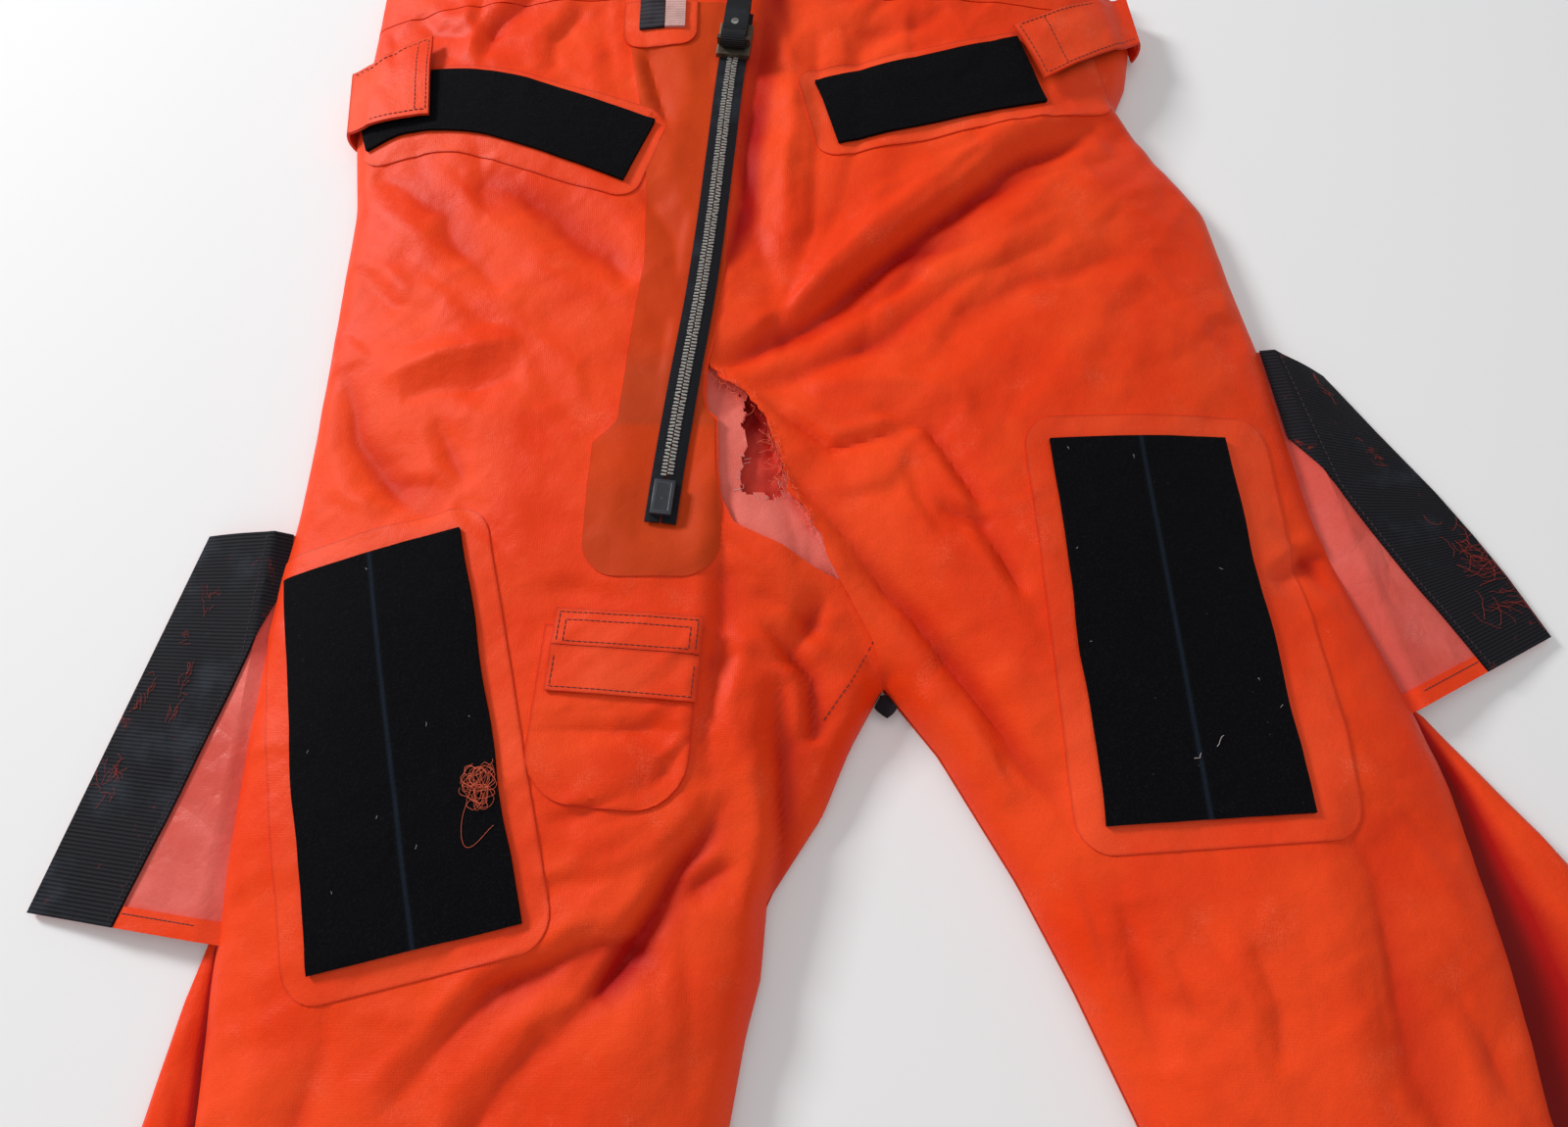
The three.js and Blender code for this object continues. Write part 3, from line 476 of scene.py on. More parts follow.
def shade(x, y):
    # painted shade: darker in the valleys of the folds, and the cloth that dips beside the zip and runs into the top of
    # the tear is in shadow
    beside = x - zipX(y) - 21 + 9 * ramp(300, 225, y)
    dip = np.exp(-((beside / mix(5.0, 11.0, ramp(215, 430, y))) ** 2)) * ramp(212, 250, y)
    return np.clip(-(foldHeight(x, y) + 2.6) / 7.0 + 0.95 * dip, 0, 1.4)


# making cloth

def toFrame(x, y, z):
    return np.stack([(x + drawingOrigin[0]) / 1000, (y + drawingOrigin[1]) / 1000, z / 1000], -1)


def nothingSelected():
    if bpy.context.object and bpy.context.object.mode != "OBJECT":
        bpy.ops.object.mode_set(mode="OBJECT")
    bpy.ops.object.select_all(action="DESELECT")


def even(n):
    return np.linspace(0, 1, n + 1)


def closeEnds(length, inner, near=(0, 0.8, 2, 4)):
    # shares of a length, with rows close together at both ends
    a = np.array([n for n in near if n < length / 2.5])
    middle = np.linspace(a[-1], length - a[-1], inner + 2)[1:-1]
    return np.concatenate([a, middle, length - a[::-1]]) / length


def finished(piece, wall=0, smooth=38):
    nothingSelected()
    piece.select_set(True)
    bpy.context.view_layer.objects.active = piece
    if wall:
        skin = piece.modifiers.new("wall", "SOLIDIFY")
        skin.thickness = wall / 1000
        skin.offset = -1
        bpy.ops.object.modifier_apply(modifier="wall")
    bpy.ops.object.shade_smooth_by_angle(angle=math.radians(smooth))
    return piece


def clothSheet(name, us, vs, place, wall, size=(100, 100), marks=None):
    nothingSelected()
    bpy.ops.mesh.primitive_grid_add(x_subdivisions=len(us) - 1, y_subdivisions=len(vs) - 1, size=1)
    piece = bpy.context.object
    piece.name = piece.data.name = name
    mesh = piece.data
    flat = np.empty(len(mesh.vertices) * 3)
    mesh.vertices.foreach_get("co", flat)
    flat = flat.reshape(-1, 3)
    u = np.asarray(us)[np.rint((flat[:, 0] + 0.5) * (len(us) - 1)).astype(int)]
    v = np.asarray(vs)[np.rint((flat[:, 1] + 0.5) * (len(vs) - 1)).astype(int)]
    x, y, z = place(u, v)
    mesh.vertices.foreach_set("co", toFrame(x, y, z + 0 * x).ravel())
    corner = np.empty(len(mesh.loops), int)
    mesh.loops.foreach_get("vertex_index", corner)
    uv = np.stack([u[corner] * size[0] / 1000, v[corner] * size[1] / 1000], -1)
    mesh.uv_layers[0].data.foreach_set("uv", uv.ravel())
    for mark, values in (marks(u, v, x, y) if marks else {}).items():
        layer = mesh.attributes.new(mark, "FLOAT", "POINT")
        layer.data.foreach_set("value", np.asarray(values, np.float32))
    mesh.update()
    return finished(piece, wall)


def planArea(us, vs, place):
    u, v = np.meshgrid(us, vs, indexing="ij")
    x, y, z = place(u.ravel(), v.ravel())
    p = np.stack([x, y, z + 0 * x], -1).reshape(len(us), len(vs), 3)
    a, b = p[1:, 1:] - p[:-1, :-1], p[1:, :-1] - p[:-1, 1:]
    return np.linalg.norm(np.cross(a, b), axis=-1).sum() / 2 / 1e6


# each sheet's flat cut, width and length in metres: the smallest rectangle round its drawn outline
cut = {
    "front": {"right": (0.363, 1.173), "left": (0.339, 1.229)},
    "back": {"right": (0.36, 1.174), "left": (0.316, 1.227)},
    "pleat": {"right": (0.054, 0.369), "left": (0.126, 0.561)},
    "bandFront": (0.242, 0.0402), "bandBack": (0.493, 0.0402),
    "waistPatch": {"right": (0.2, 0.0765), "left": (0.195, 0.071)},
    "waistLoop": {"right": (0.199, 0.062), "left": (0.1355, 0.052)},  # the right strip curves
    "tab": {"right": (0.056, 0.0645), "left": (0.0957, 0.0422)},
    "tabHook": {"right": (0.046, 0.0595), "left": (0.0795, 0.039)},
    "tabRoot": {"right": (0.0193, 0.0465), "left": (0.0193, 0.039)},  # along its standing surface
    "zipTape": (0.011, 0.346),  # an 8 mm strip that bows
    "zipBand": (0.0725, 0.383),
    "pull": (0.015, 0.137),  # both layers and the loop
    "liner": (0.054, 0.1825),
    "gusset": (0.0125, 0.0125),  # drawn a little smaller than a sheet may be
    "wing": {"right": (0.115, 0.2135), "left": (0.1075, 0.226)},
    "wingHook": {"right": (0.0565, 0.2205), "left": (0.052, 0.218)},
    "wingHem": (0.0625, 0.011),
}


def declare(piece, us, vs, place):
    planArea(us, vs, place)


print("drawing ready")


# materials

def link(tree, a, b):
    tree.links.new(a, b)


def node(tree, kind, **settings):
    made = tree.nodes.new(kind)
    for key, value in settings.items():
        if key in ("Scale", "Detail", "Roughness", "Distortion", "Strength", "Distance", "Fac"):
            made.inputs[key].default_value = value
        else:
            setattr(made, key, value)
    return made


def mapRange(tree, source, low, high, toLow=0.0, toHigh=1.0):
    made = tree.nodes.new("ShaderNodeMapRange")
    made.interpolation_type = "SMOOTHSTEP"
    link(tree, source, made.inputs["Value"])
    for key, value in (("From Min", low), ("From Max", high), ("To Min", toLow), ("To Max", toHigh)):
        made.inputs[key].default_value = value
    return made.outputs["Result"]


def maths(tree, operation, a, b):
    made = node(tree, "ShaderNodeMath", operation=operation)
    for slot, value in zip(made.inputs, (a, b)):
        if isinstance(value, (int, float)):
            slot.default_value = value
        else:
            link(tree, value, slot)
    return made.outputs[0]


def blendColour(tree, share, a, b, kind="MIX"):
    made = node(tree, "ShaderNodeMix", data_type="RGBA", blend_type=kind)
    for slot, value in ((made.inputs[0], share), (made.inputs[6], a), (made.inputs[7], b)):
        if isinstance(value, tuple):
            slot.default_value = value
        elif isinstance(value, (int, float)):
            slot.default_value = value
        else:
            link(tree, value, slot)
    return made.outputs[2]


def rgb(r, g, b):
    lin = lambda c: ((c / 255 + 0.055) / 1.055) ** 2.4 if c > 10 else c / 255 / 12.92
    return (lin(r), lin(g), lin(b), 1)


def clothGrainGroup():
    group = bpy.data.node_groups.new("clothGrain", "ShaderNodeTree")
    face = group.interface
    face.new_socket(name="Weave", in_out="INPUT", socket_type="NodeSocketFloat")
    face.new_socket(name="Height", in_out="OUTPUT", socket_type="NodeSocketFloat")
    face.new_socket(name="Mottle", in_out="OUTPUT", socket_type="NodeSocketFloat")
    face.new_socket(name="Scuff", in_out="OUTPUT", socket_type="NodeSocketFloat")
    face.new_socket(name="Speck", in_out="OUTPUT", socket_type="NodeSocketFloat")
    face.new_socket(name="Crease", in_out="OUTPUT", socket_type="NodeSocketFloat")
    inside, outside = group.nodes.new("NodeGroupInput"), group.nodes.new("NodeGroupOutput")
    place = group.nodes.new("ShaderNodeTexCoord").outputs["Object"]
    waves = []
    for direction in ("X", "Y"):
        wave = node(
            group, "ShaderNodeTexWave", bands_direction=direction, Scale=260, Distortion=0.6, Detail=1
        )
        link(group, place, wave.inputs["Vector"])
        waves.append(wave.outputs["Fac"])
    weave = maths(group, "MULTIPLY", maths(group, "MAXIMUM", *waves), inside.outputs["Weave"])
    noises = {}
    for name, scale, detail in (("fine", 950, 3), ("pucker", 140, 4), ("broad", 13, 4), ("patchy", 42, 5)):
        made = node(group, "ShaderNodeTexNoise", Scale=scale, Detail=detail, Roughness=0.55)
        link(group, place, made.inputs["Vector"])
        noises[name] = made.outputs["Fac"]
    height = maths(
        group, "ADD", maths(group, "MULTIPLY", noises["fine"], 0.35),
        maths(group, "MULTIPLY", noises["pucker"], 1.1)
    )
    link(group, maths(group, "ADD", height, weave), outside.inputs["Height"])
    link(group, mapRange(group, noises["broad"], 0.36, 0.66), outside.inputs["Mottle"])
    scuffed = maths(
        group, "MULTIPLY", mapRange(group, noises["patchy"], 0.56, 0.74),
        mapRange(group, noises["fine"], 0.35, 0.7)
    )
    link(group, scuffed, outside.inputs["Scuff"])
    link(group, noises["fine"], outside.inputs["Speck"])
    folded = []
    for scale, depth in ((17, 1.6), (48, 0.4)):
        made = node(group, "ShaderNodeTexNoise", Scale=scale, Detail=2, Roughness=0.45, Distortion=0.5)
        link(group, place, made.inputs["Vector"])
        off = maths(group, "ABSOLUTE", maths(group, "SUBTRACT", made.outputs["Fac"], 0.5), 0)
        folded.append(maths(group, "MULTIPLY", off, depth))
    link(group, maths(group, "ADD", *folded), outside.inputs["Crease"])
    return group


clothGrain = clothGrainGroup()


def freshMaterial(name):
    made = bpy.data.materials.new(name)
    made.use_nodes = True
    return made, made.node_tree, made.node_tree.nodes["Principled BSDF"]


def coatedCloth(
    name, base, light, shadeColour, scuff, rough=0.5, weave=0.10, bump=0.4, scuffs=0.3, crease=0.10, edge=None
):
    made, tree, shader = freshMaterial(name)
    grain = tree.nodes.new("ShaderNodeGroup")
    grain.node_tree = clothGrain
    grain.inputs["Weave"].default_value = weave
    colour = blendColour(tree, grain.outputs["Mottle"], base, light)
    colour = blendColour(tree, maths(tree, "MULTIPLY", grain.outputs["Scuff"], scuffs), colour, scuff)
    # painted shade: the mark darkens the colour towards the shade colour in folds and creases, and past 1 towards a
    # near-black red for deep shadow
    valley = node(tree, "ShaderNodeAttribute", attribute_name="valley")
    colour = blendColour(tree, maths(tree, "MINIMUM", valley.outputs["Fac"], 1.0), colour, shadeColour)
    deepShade = mapRange(tree, valley.outputs["Fac"], 1.0, 2.0, 0, 0.8)
    colour = blendColour(tree, deepShade, colour, (shadeColour[0] * 0.28, shadeColour[1] * 0.2, shadeColour[2] * 0.2, 1))
    rim = node(tree, "ShaderNodeAttribute", attribute_name="rim")
    colour = blendColour(tree, maths(tree, "MULTIPLY", rim.outputs["Fac"], 0.5), colour, edge or shadeColour)
    speck = mapRange(tree, grain.outputs["Speck"], 0.3, 0.7, 0.955, 1.03)
    tint = tree.nodes.new("ShaderNodeCombineColor")
    for i in range(3):
        link(tree, speck, tint.inputs[i])
    colour = blendColour(tree, 1.0, colour, tint.outputs[0], "MULTIPLY")
    link(tree, colour, shader.inputs["Base Color"])
    link(
        tree, mapRange(tree, grain.outputs["Mottle"], 0, 1, rough - 0.05, rough + 0.07),
        shader.inputs["Roughness"]
    )
    shader.inputs["Specular IOR Level"].default_value = 0.15
    shader.inputs["Sheen Weight"].default_value = 0.02
    creased = node(tree, "ShaderNodeBump", Strength=crease, Distance=0.012)
    link(tree, grain.outputs["Crease"], creased.inputs["Height"])
    lifted = node(tree, "ShaderNodeBump", Strength=bump, Distance=0.0011)
    link(tree, grain.outputs["Height"], lifted.inputs["Height"])
    link(tree, creased.outputs["Normal"], lifted.inputs["Normal"])
    link(tree, lifted.outputs["Normal"], shader.inputs["Normal"])
    return made


def pileMaterial(name, base, tuft, lint=0.5):
    made, tree, shader = freshMaterial(name)
    place = tree.nodes.new("ShaderNodeTexCoord").outputs["Object"]
    fuzz = node(tree, "ShaderNodeTexNoise", Scale=780, Detail=4, Roughness=0.7)
    clump = node(tree, "ShaderNodeTexNoise", Scale=120, Detail=3, Roughness=0.6)
    lintNoise = node(tree, "ShaderNodeTexVoronoi", Scale=190)
    for made_ in (fuzz, clump, lintNoise):
        link(tree, place, made_.inputs["Vector"])
    colour = blendColour(tree, mapRange(tree, fuzz.outputs["Fac"], 0.45, 0.75), base, tuft)
    specks = maths(
        tree, "MULTIPLY", mapRange(tree, lintNoise.outputs["Distance"], 0.10, 0.03),
        mapRange(tree, clump.outputs["Fac"], 0.55, 0.7)
    )
    colour = blendColour(tree, maths(tree, "MULTIPLY", specks, lint), colour, rgb(120, 120, 126))
    seam = node(tree, "ShaderNodeAttribute", attribute_name="rim")
    colour = blendColour(tree, maths(tree, "MULTIPLY", seam.outputs["Fac"], 0.6), colour, rgb(34, 44, 58))
    link(tree, colour, shader.inputs["Base Color"])
    shader.inputs["Roughness"].default_value = 0.96
    shader.inputs["Specular IOR Level"].default_value = 0.12
    lifted = node(tree, "ShaderNodeBump", Strength=0.9, Distance=0.0012)
    link(tree, maths(tree, "ADD", fuzz.outputs["Fac"], clump.outputs["Fac"]), lifted.inputs["Height"])
    link(tree, lifted.outputs["Normal"], shader.inputs["Normal"])
    return made


def ribbedMaterial(
    name, groove, rib, pitch, lint, direction="Y", rough=0.8, lintColour=(168, 40, 24), lintScale=34
):
    made, tree, shader = freshMaterial(name)
    coords = tree.nodes.new("ShaderNodeTexCoord")
    wave = node(
        tree, "ShaderNodeTexWave", bands_direction=direction, Scale=0.314159 / pitch * 1000, Distortion=0.5,
        Detail=2
    )
    wave.inputs["Detail Scale"].default_value = 3
    link(tree, coords.outputs["UV"], wave.inputs["Vector"])
    fuzz = node(tree, "ShaderNodeTexNoise", Scale=900, Detail=3, Roughness=0.6)
    dust = node(tree, "ShaderNodeTexNoise", Scale=30, Detail=4, Roughness=0.6)
    stray = node(tree, "ShaderNodeTexNoise", Scale=lintScale, Detail=9, Roughness=0.72, Distortion=1.6)
    for made_ in (fuzz, dust, stray):
        link(tree, coords.outputs["Object"], made_.inputs["Vector"])
    colour = blendColour(tree, wave.outputs["Fac"], groove, rib)
    colour = blendColour(
        tree, mapRange(tree, dust.outputs["Fac"], 0.5, 0.75, 0, 0.3), colour, rgb(70, 78, 90)
    )
    red = maths(
        tree, "MULTIPLY", mapRange(tree, stray.outputs["Fac"], 0.60, 0.68),
        mapRange(tree, fuzz.outputs["Fac"], 0.4, 0.6)
    )
    colour = blendColour(tree, maths(tree, "MULTIPLY", red, lint), colour, rgb(*lintColour))
    link(tree, colour, shader.inputs["Base Color"])
    shader.inputs["Roughness"].default_value = rough
    shader.inputs["Specular IOR Level"].default_value = 0.25
    lifted = node(tree, "ShaderNodeBump", Strength=0.7, Distance=0.0006)
    link(
        tree, maths(tree, "ADD", wave.outputs["Fac"], maths(tree, "MULTIPLY", fuzz.outputs["Fac"], 0.4)),
        lifted.inputs["Height"]
    )
    link(tree, lifted.outputs["Normal"], shader.inputs["Normal"])
    return made


def hardMaterial(name, base, worn, metallic, rough, scale=420):
    made, tree, shader = freshMaterial(name)
    place = tree.nodes.new("ShaderNodeTexCoord").outputs["Object"]
    grain = node(tree, "ShaderNodeTexNoise", Scale=scale, Detail=4, Roughness=0.6)
    link(tree, place, grain.inputs["Vector"])
    edges = tree.nodes.new("ShaderNodeNewGeometry").outputs["Pointiness"]
    wear = maths(
        tree, "MAXIMUM", mapRange(tree, edges, 0.52, 0.6), mapRange(tree, grain.outputs["Fac"], 0.6, 0.75)
    )
    link(tree, blendColour(tree, wear, base, worn), shader.inputs["Base Color"])
    shader.inputs["Metallic"].default_value = metallic
    link(
        tree, mapRange(tree, grain.outputs["Fac"], 0.3, 0.7, rough - 0.08, rough + 0.12),
        shader.inputs["Roughness"]
    )
    lifted = node(tree, "ShaderNodeBump", Strength=0.2, Distance=0.0003)
    link(tree, grain.outputs["Fac"], lifted.inputs["Height"])
    link(tree, lifted.outputs["Normal"], shader.inputs["Normal"])
    return made


orangeShell = coatedCloth("orangeShell", rgb(238, 58, 8), rgb(246, 72, 22), rgb(178, 8, 1), rgb(250, 112, 80))
orangePatch = coatedCloth(
    "orangePatch", rgb(240, 62, 16), rgb(246, 78, 34), rgb(205, 22, 6), rgb(252, 124, 94), rough=0.46,
    edge=rgb(176, 34, 14)
)
orangeBack = coatedCloth(
    "orangeBack", rgb(220, 60, 22), rgb(230, 70, 32), rgb(180, 14, 4), rgb(230, 110, 84), rough=0.56
)
zipFilm = coatedCloth(
    "zipFilm", rgb(208, 58, 3), rgb(218, 66, 6), rgb(178, 30, 1), rgb(212, 84, 30), rough=0.58, weave=0.05,
    bump=0.18, scuffs=0.2, edge=rgb(214, 52, 12)
)
pinkInner = coatedCloth(
    "pinkInner", rgb(216, 86, 74), rgb(232, 112, 102), rgb(176, 44, 38), rgb(240, 160, 150), rough=0.34,
    weave=0.06, bump=0.3, crease=0.4, scuffs=0.25, edge=rgb(232, 150, 140)
)
# painted light: the liner is the wing's pink laminate made lighter, to make up for the shade it lies in down in the
# tear
pinkLinerLit = coatedCloth(
    "pinkLinerLit", rgb(228, 104, 90), rgb(236, 118, 106), rgb(200, 66, 56), rgb(246, 160, 148), rough=0.6,
    crease=0.05, edge=rgb(236, 150, 138)
)
redInner = coatedCloth(
    "redInner", rgb(214, 54, 42), rgb(226, 72, 58), rgb(150, 16, 12), rgb(236, 90, 76), rough=0.5
)
blackPile = pileMaterial("blackPile", rgb(5, 5, 8), rgb(20, 20, 25), 0.3)
hookRibs = ribbedMaterial("hookRibs", rgb(6, 7, 11), rgb(27, 27, 36), 2.1, 0.5)
hookPlain = ribbedMaterial("hookPlain", rgb(8, 9, 12), rgb(26, 29, 36), 1.6, 0.05)
zipTapeCloth = ribbedMaterial(
    "zipTapeCloth", rgb(10, 12, 18), rgb(26, 29, 38), 0.9, 0.10, lintColour=(120, 120, 126)
)
blackStrap = ribbedMaterial(
    "blackStrap", rgb(12, 13, 16), rgb(34, 36, 40), 1.1, 0.12, rough=0.6, lintColour=(110, 108, 106)
)
blackWebbing = ribbedMaterial(
    "blackWebbing", rgb(18, 16, 20), rgb(58, 46, 50), 3.2, 0.2, lintColour=(110, 60, 60)
)
paleWebbing = ribbedMaterial(
    "paleWebbing", rgb(206, 150, 142), rgb(236, 196, 190), 1.4, 0.3, lintColour=(230, 90, 70)
)
greyTeeth = hardMaterial("greyTeeth", rgb(78, 76, 74), rgb(176, 172, 166), 0.7, 0.5, 500)
agedBrass = hardMaterial("agedBrass", rgb(46, 42, 38), rgb(104, 94, 80), 0.85, 0.46)
rivetSteel = hardMaterial("rivetSteel", rgb(150, 148, 144), rgb(212, 210, 206), 0.9, 0.3)
mouldedBlack = hardMaterial("mouldedBlack", rgb(26, 30, 37), rgb(62, 68, 78), 0.0, 0.42)
darkThread = hardMaterial("darkThread", rgb(36, 22, 30), rgb(64, 40, 46), 0.0, 0.7)
orangeThread = hardMaterial("orangeThread", rgb(214, 62, 30), rgb(240, 110, 76), 0.0, 0.7)
redThread = hardMaterial("redThread", rgb(120, 28, 20), rgb(170, 48, 32), 0.0, 0.7)
paleThread = hardMaterial("paleThread", rgb(150, 140, 136), rgb(200, 190, 184), 0.0, 0.7)
print("materials made")


def dress(piece, material, body, slot, *nodes):
    piece.data.materials.clear()
    piece.data.materials.append(material)
    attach(piece, body)
    if nodes:
        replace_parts(piece, *nodes)
    return piece


# front and back of the trousers

panel = {
    "frontRows": 250, "lowRows": 80, "frontColumns": 98, "wall": 1.3,
    "edge": (0, 0.5, 1.3, 2.5, 4, 6, 8.5, 11.5, 15),
}


def frontRows():
    top = drawn["waist"] - drawn["band"]
    ys = np.concatenate([
        np.linspace(-drawn["leg"], -215, panel["lowRows"], endpoint=False),
        np.linspace(-215, top, panel["frontRows"] + 1),
    ])
    return (ys + drawn["leg"]) / (top + drawn["leg"])


def frontCloth(side):
    right = side == "right"
    top = drawn["waist"] - drawn["band"]
    near = np.array(panel["edge"])
    n, k = panel["frontColumns"], len(near)

    def place(u, v):
        y = mix(-drawn["leg"], top, v)
        yo = cuffTilt(side, y)
        outer = at(side + "Front", yo)
        ragged = softNoise(y, 0 * y, 3.1, 41) * 1.1 + softNoise(y, 0 * y, 9, 42) * 1.6
        ragged = ragged * ramp(40, 70, y) * (1 - ramp(176, 190, y))
        if right:
            tucked = 9 * ramp(66, 50, y) * ramp(2, 20, y)
            inner = np.where(y > 6, at("tornEdge", y) + ragged * 0.3 + tucked, at("rightInner", y) - 0.3)
        else:
            inner = np.where(y > 6, at("centreFront", y) + ragged * 1.2, at("leftInner", y) + 0.3)
        width = np.abs(inner - outer)
        i = np.rint((u if right else 1 - u) * (n + 2 * k - 1)).astype(int)  # 0 at the outer edge
        d = np.where(
            i < k, near[np.minimum(i, k - 1)],
            np.where(i >= n + k, width - near[np.clip(n + 2 * k - 1 - i, 0, k - 1)],
                     near[-1] + (width - 2 * near[-1]) * (i - k + 1) / (n + 1)),
        )
        s = d / width
        x, yy = mix(outer, inner, s), mix(yo, y, s)
        return x, yy, surface(x, yy, 0, side)

    us = np.arange(n + 2 * k) / (n + 2 * k - 1)
    vs = frontRows()
    piece = clothSheet(
        side + "FrontCloth", us, vs, place, panel["wall"], (260, 1165),
        lambda u, v, x, y: {"valley": shade(x, y)},
    )
    dress(piece, orangeShell, "trousers", "shell", "front_panel_" + side)
    flat = lambda u, v: (*place(u, v)[:2], 0 * u)
    declare(piece, us, vs[::4], flat)


def backCloth(side):
    right = side == "right"
    top = drawn["waist"] - drawn["band"]

    def place(u, v):
        y = mix(-drawn["leg"], top, v)
        yo = cuffTilt(side, y)
        outer = at(side + "Back", yo)
        inner = np.where(y > 6, at("centreBack", y), at(side + "Inner", y)) + (-0.3 if right else 0.3)
        s = u if right else 1 - u
        x, yy = mix(outer, inner, s), mix(yo, y, s)
        edge = np.minimum(1, np.minimum(s, 1 - s) * 30)
        return x, yy, 1.7 + (0.25 * softNoise(x, yy, 30, 51) + 0.25) * edge

    us, vs = closeEnds(270, 40), even(170)
    piece = clothSheet(side + "BackCloth", us, vs, place, 1.5, (270, 1165))
    dress(piece, orangeBack, "trousers", "shell_back", "back_panel_" + side)
    declare(piece, us, vs, place)


def pleatShade(side, x, y):
    back, front = at(side + "Back", y), at(side + "Front", y)
    toFront = (1 - np.abs(x - back) / np.maximum(6, np.abs(front - back)))
    return 1.9 * (1 - ramp(0.02, 0.55 if side == "left" else 0.3, toFront))


def legPleat(side):
    right = side == "right"
    low, high = (-470, -112) if right else (-500, 2)

    def place(u, v):
        y = mix(low, high, v)
        outer = at(side + "Back", y)
        front = at(side + "Front", y)
        under = front + (24 if right else -24)
        s = u if right else 1 - u
        x = mix(outer, under, s)
        wide = np.abs(front - outer)
        d = np.abs(x - outer)
        crest = np.minimum(9, 3 + wide * 0.16)
        rise = np.sqrt(np.maximum(0, 1 - (1 - np.clip(d / 9, 0, 1)) ** 2))
        fall = ramp(0.45, 1.05, d / np.maximum(wide, 8))
        z = 3.2 + rise * (crest * (1 - fall * 0.8)) + 0.7 * softNoise(x, y, 26, 61) * rise * (1 - fall)
        z += rise * (1 - fall) * 1.4 * creases(x, y, -70 if right else -52, 3.5, 24, 63)
        return x, y, np.clip(z, 3.2, 13)

    us, vs = closeEnds(60, 26, (0, 0.5, 1.4, 2.8, 4.6)), even(150)
    piece = clothSheet(
        side + "LegPleat", us, vs, place, 1.2, (60, abs(high - low)),
        lambda u, v, x, y: {"valley": pleatShade(side, x, y)},
    )
    dress(piece, orangeShell, "trousers", "shell", "leg_pleat_" + side)
    declare(piece, us, vs, place)


for side in ("right", "left"):
    frontCloth(side)
    backCloth(side)
    legPleat(side)
print("legs and hips made")


# waistband and cuffs

def waistband(name, start, end, material, slot, front):
    low, high = drawn["waist"] - drawn["band"] + 0.6, drawn["waist"]

    def place(u, v):
        y = mix(low, high, v)
        x = mix(start(y), end(y), u)
        if front:
            puff = 0.25 + 1.6 * ramp(0, 0.8, v)
            return x, y, surface(x, y, puff)
        return x, y, 2.9 + 0.2 * softNoise(x, y, 20, 71)

    us, vs = closeEnds(240, 70, (0, 0.5, 1.3, 2.5, 4, 6, 9, 12)), closeEnds(40, 12, (0, 0.6, 1.6, 3))
    marks = lambda u, v, x, y: {
        # the front band carries the cloth's painted shade
        "valley": shade(x, y) if front else 0 * x,
        "rim": np.exp(-(((v - 0.92) / 0.03) ** 2)) * 0.5,
    }
    piece = clothSheet(name, us, vs, place, 1.6 if front else 2.6, (240, 40), marks)
    dress(piece, material, "trousers", slot)
    declare(piece, us, vs, lambda u, v: (*place(u, v)[:2], 0 * u))
    return piece


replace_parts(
    waistband(
        "waistbandRight", lambda y: at("rightFront", y), lambda y: zipX(y) - 10, orangeShell, "shell", True
    ),
    "waistband_front_right"
)
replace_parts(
    waistband(
        "waistbandLeft", lambda y: zipX(y) + 10, lambda y: at("leftFront", y), orangeShell, "shell", True
    ),
    "waistband_front_left"
)
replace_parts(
    waistband(
        "waistbandBack", lambda y: at("rightBack", y), lambda y: at("leftBack", y), orangeBack,
        "shell_back", False
    ),
    "waistband_back"
)


def cuffHem(side):
    # a tube of cloth round the leg's end
    a = (at(side + "Back", cuffTilt(side, -drawn["leg"])), float(cuffTilt(side, -drawn["leg"])))
    b = (at(side + "Inner", -drawn["leg"]), -drawn["leg"])
    if side == "left":
        a, b = b, a
    wide = math.dist(a, b)
    out = ((b[1] - a[1]) / wide, -(b[0] - a[0]) / wide)

    def place(u, v):
        turn = u * 2 * np.pi
        c, s = np.cos(turn), np.sin(turn)
        share = 0.5 - 0.5 * np.sign(c) * np.abs(c) ** 0.55
        lift = np.abs(s) ** 0.6
        rise = np.where(s >= 0, 9 + 15.5 * lift, 9 - 7.4 * lift)
        along = mix(drawn["hem"], 0.4, v)
        bulge = 0.5 * np.sin(np.pi * v) ** 0.4 * np.sign(s) * (s > 0)
        x = mix(a[0], b[0], share) + out[0] * along
        y = mix(a[1], b[1], share) + out[1] * along
        sag = 1.3 * softNoise(x, y, 40, 81) * (s > 0) * lift
        return x, y, rise + bulge + sag

    us, vs = even(160), closeEnds(22, 8, (0, 0.7, 1.8))
    marks = lambda u, v, x, y: {"rim": np.exp(-(((np.abs(v - 0.5) - 0.42) / 0.035) ** 2)) * 0.5}
    piece = clothSheet(side + "CuffHem", us, vs, place, 0, (500, 22), marks)
    nothingSelected()
    piece.select_set(True)
    bpy.context.view_layer.objects.active = piece
    bpy.ops.object.mode_set(mode="EDIT")
    bpy.ops.mesh.select_all(action="SELECT")
    bpy.ops.mesh.remove_doubles(threshold=0.00002)
    bpy.ops.mesh.normals_make_consistent(inside=False)
    bpy.ops.object.mode_set(mode="OBJECT")
    finished(piece, 1.4)
    dress(piece, orangeShell, "trousers", "shell", "cuff_hem_" + side)
    declare(piece, us, vs, place)


for side in ("right", "left"):
    cuffHem(side)
print("waistband and cuffs made")


# patches and tapes laid on the front

layer = {"patch": 0.85, "pile": 3.4, "tab": 6.6}  # mm, the height of each top face over the cloth


def edgeMarks(width, length, line=1.4):
    def marks(u, v, x, y):
        a = np.minimum(u, 1 - u) * width
        b = np.minimum(v, 1 - v) * length
        # the patches carry the cloth's painted shade at half strength
        return {"rim": np.clip(1 - np.minimum(a, b) / line, 0, 1), "valley": shade(x, y) * 0.5}
    return marks


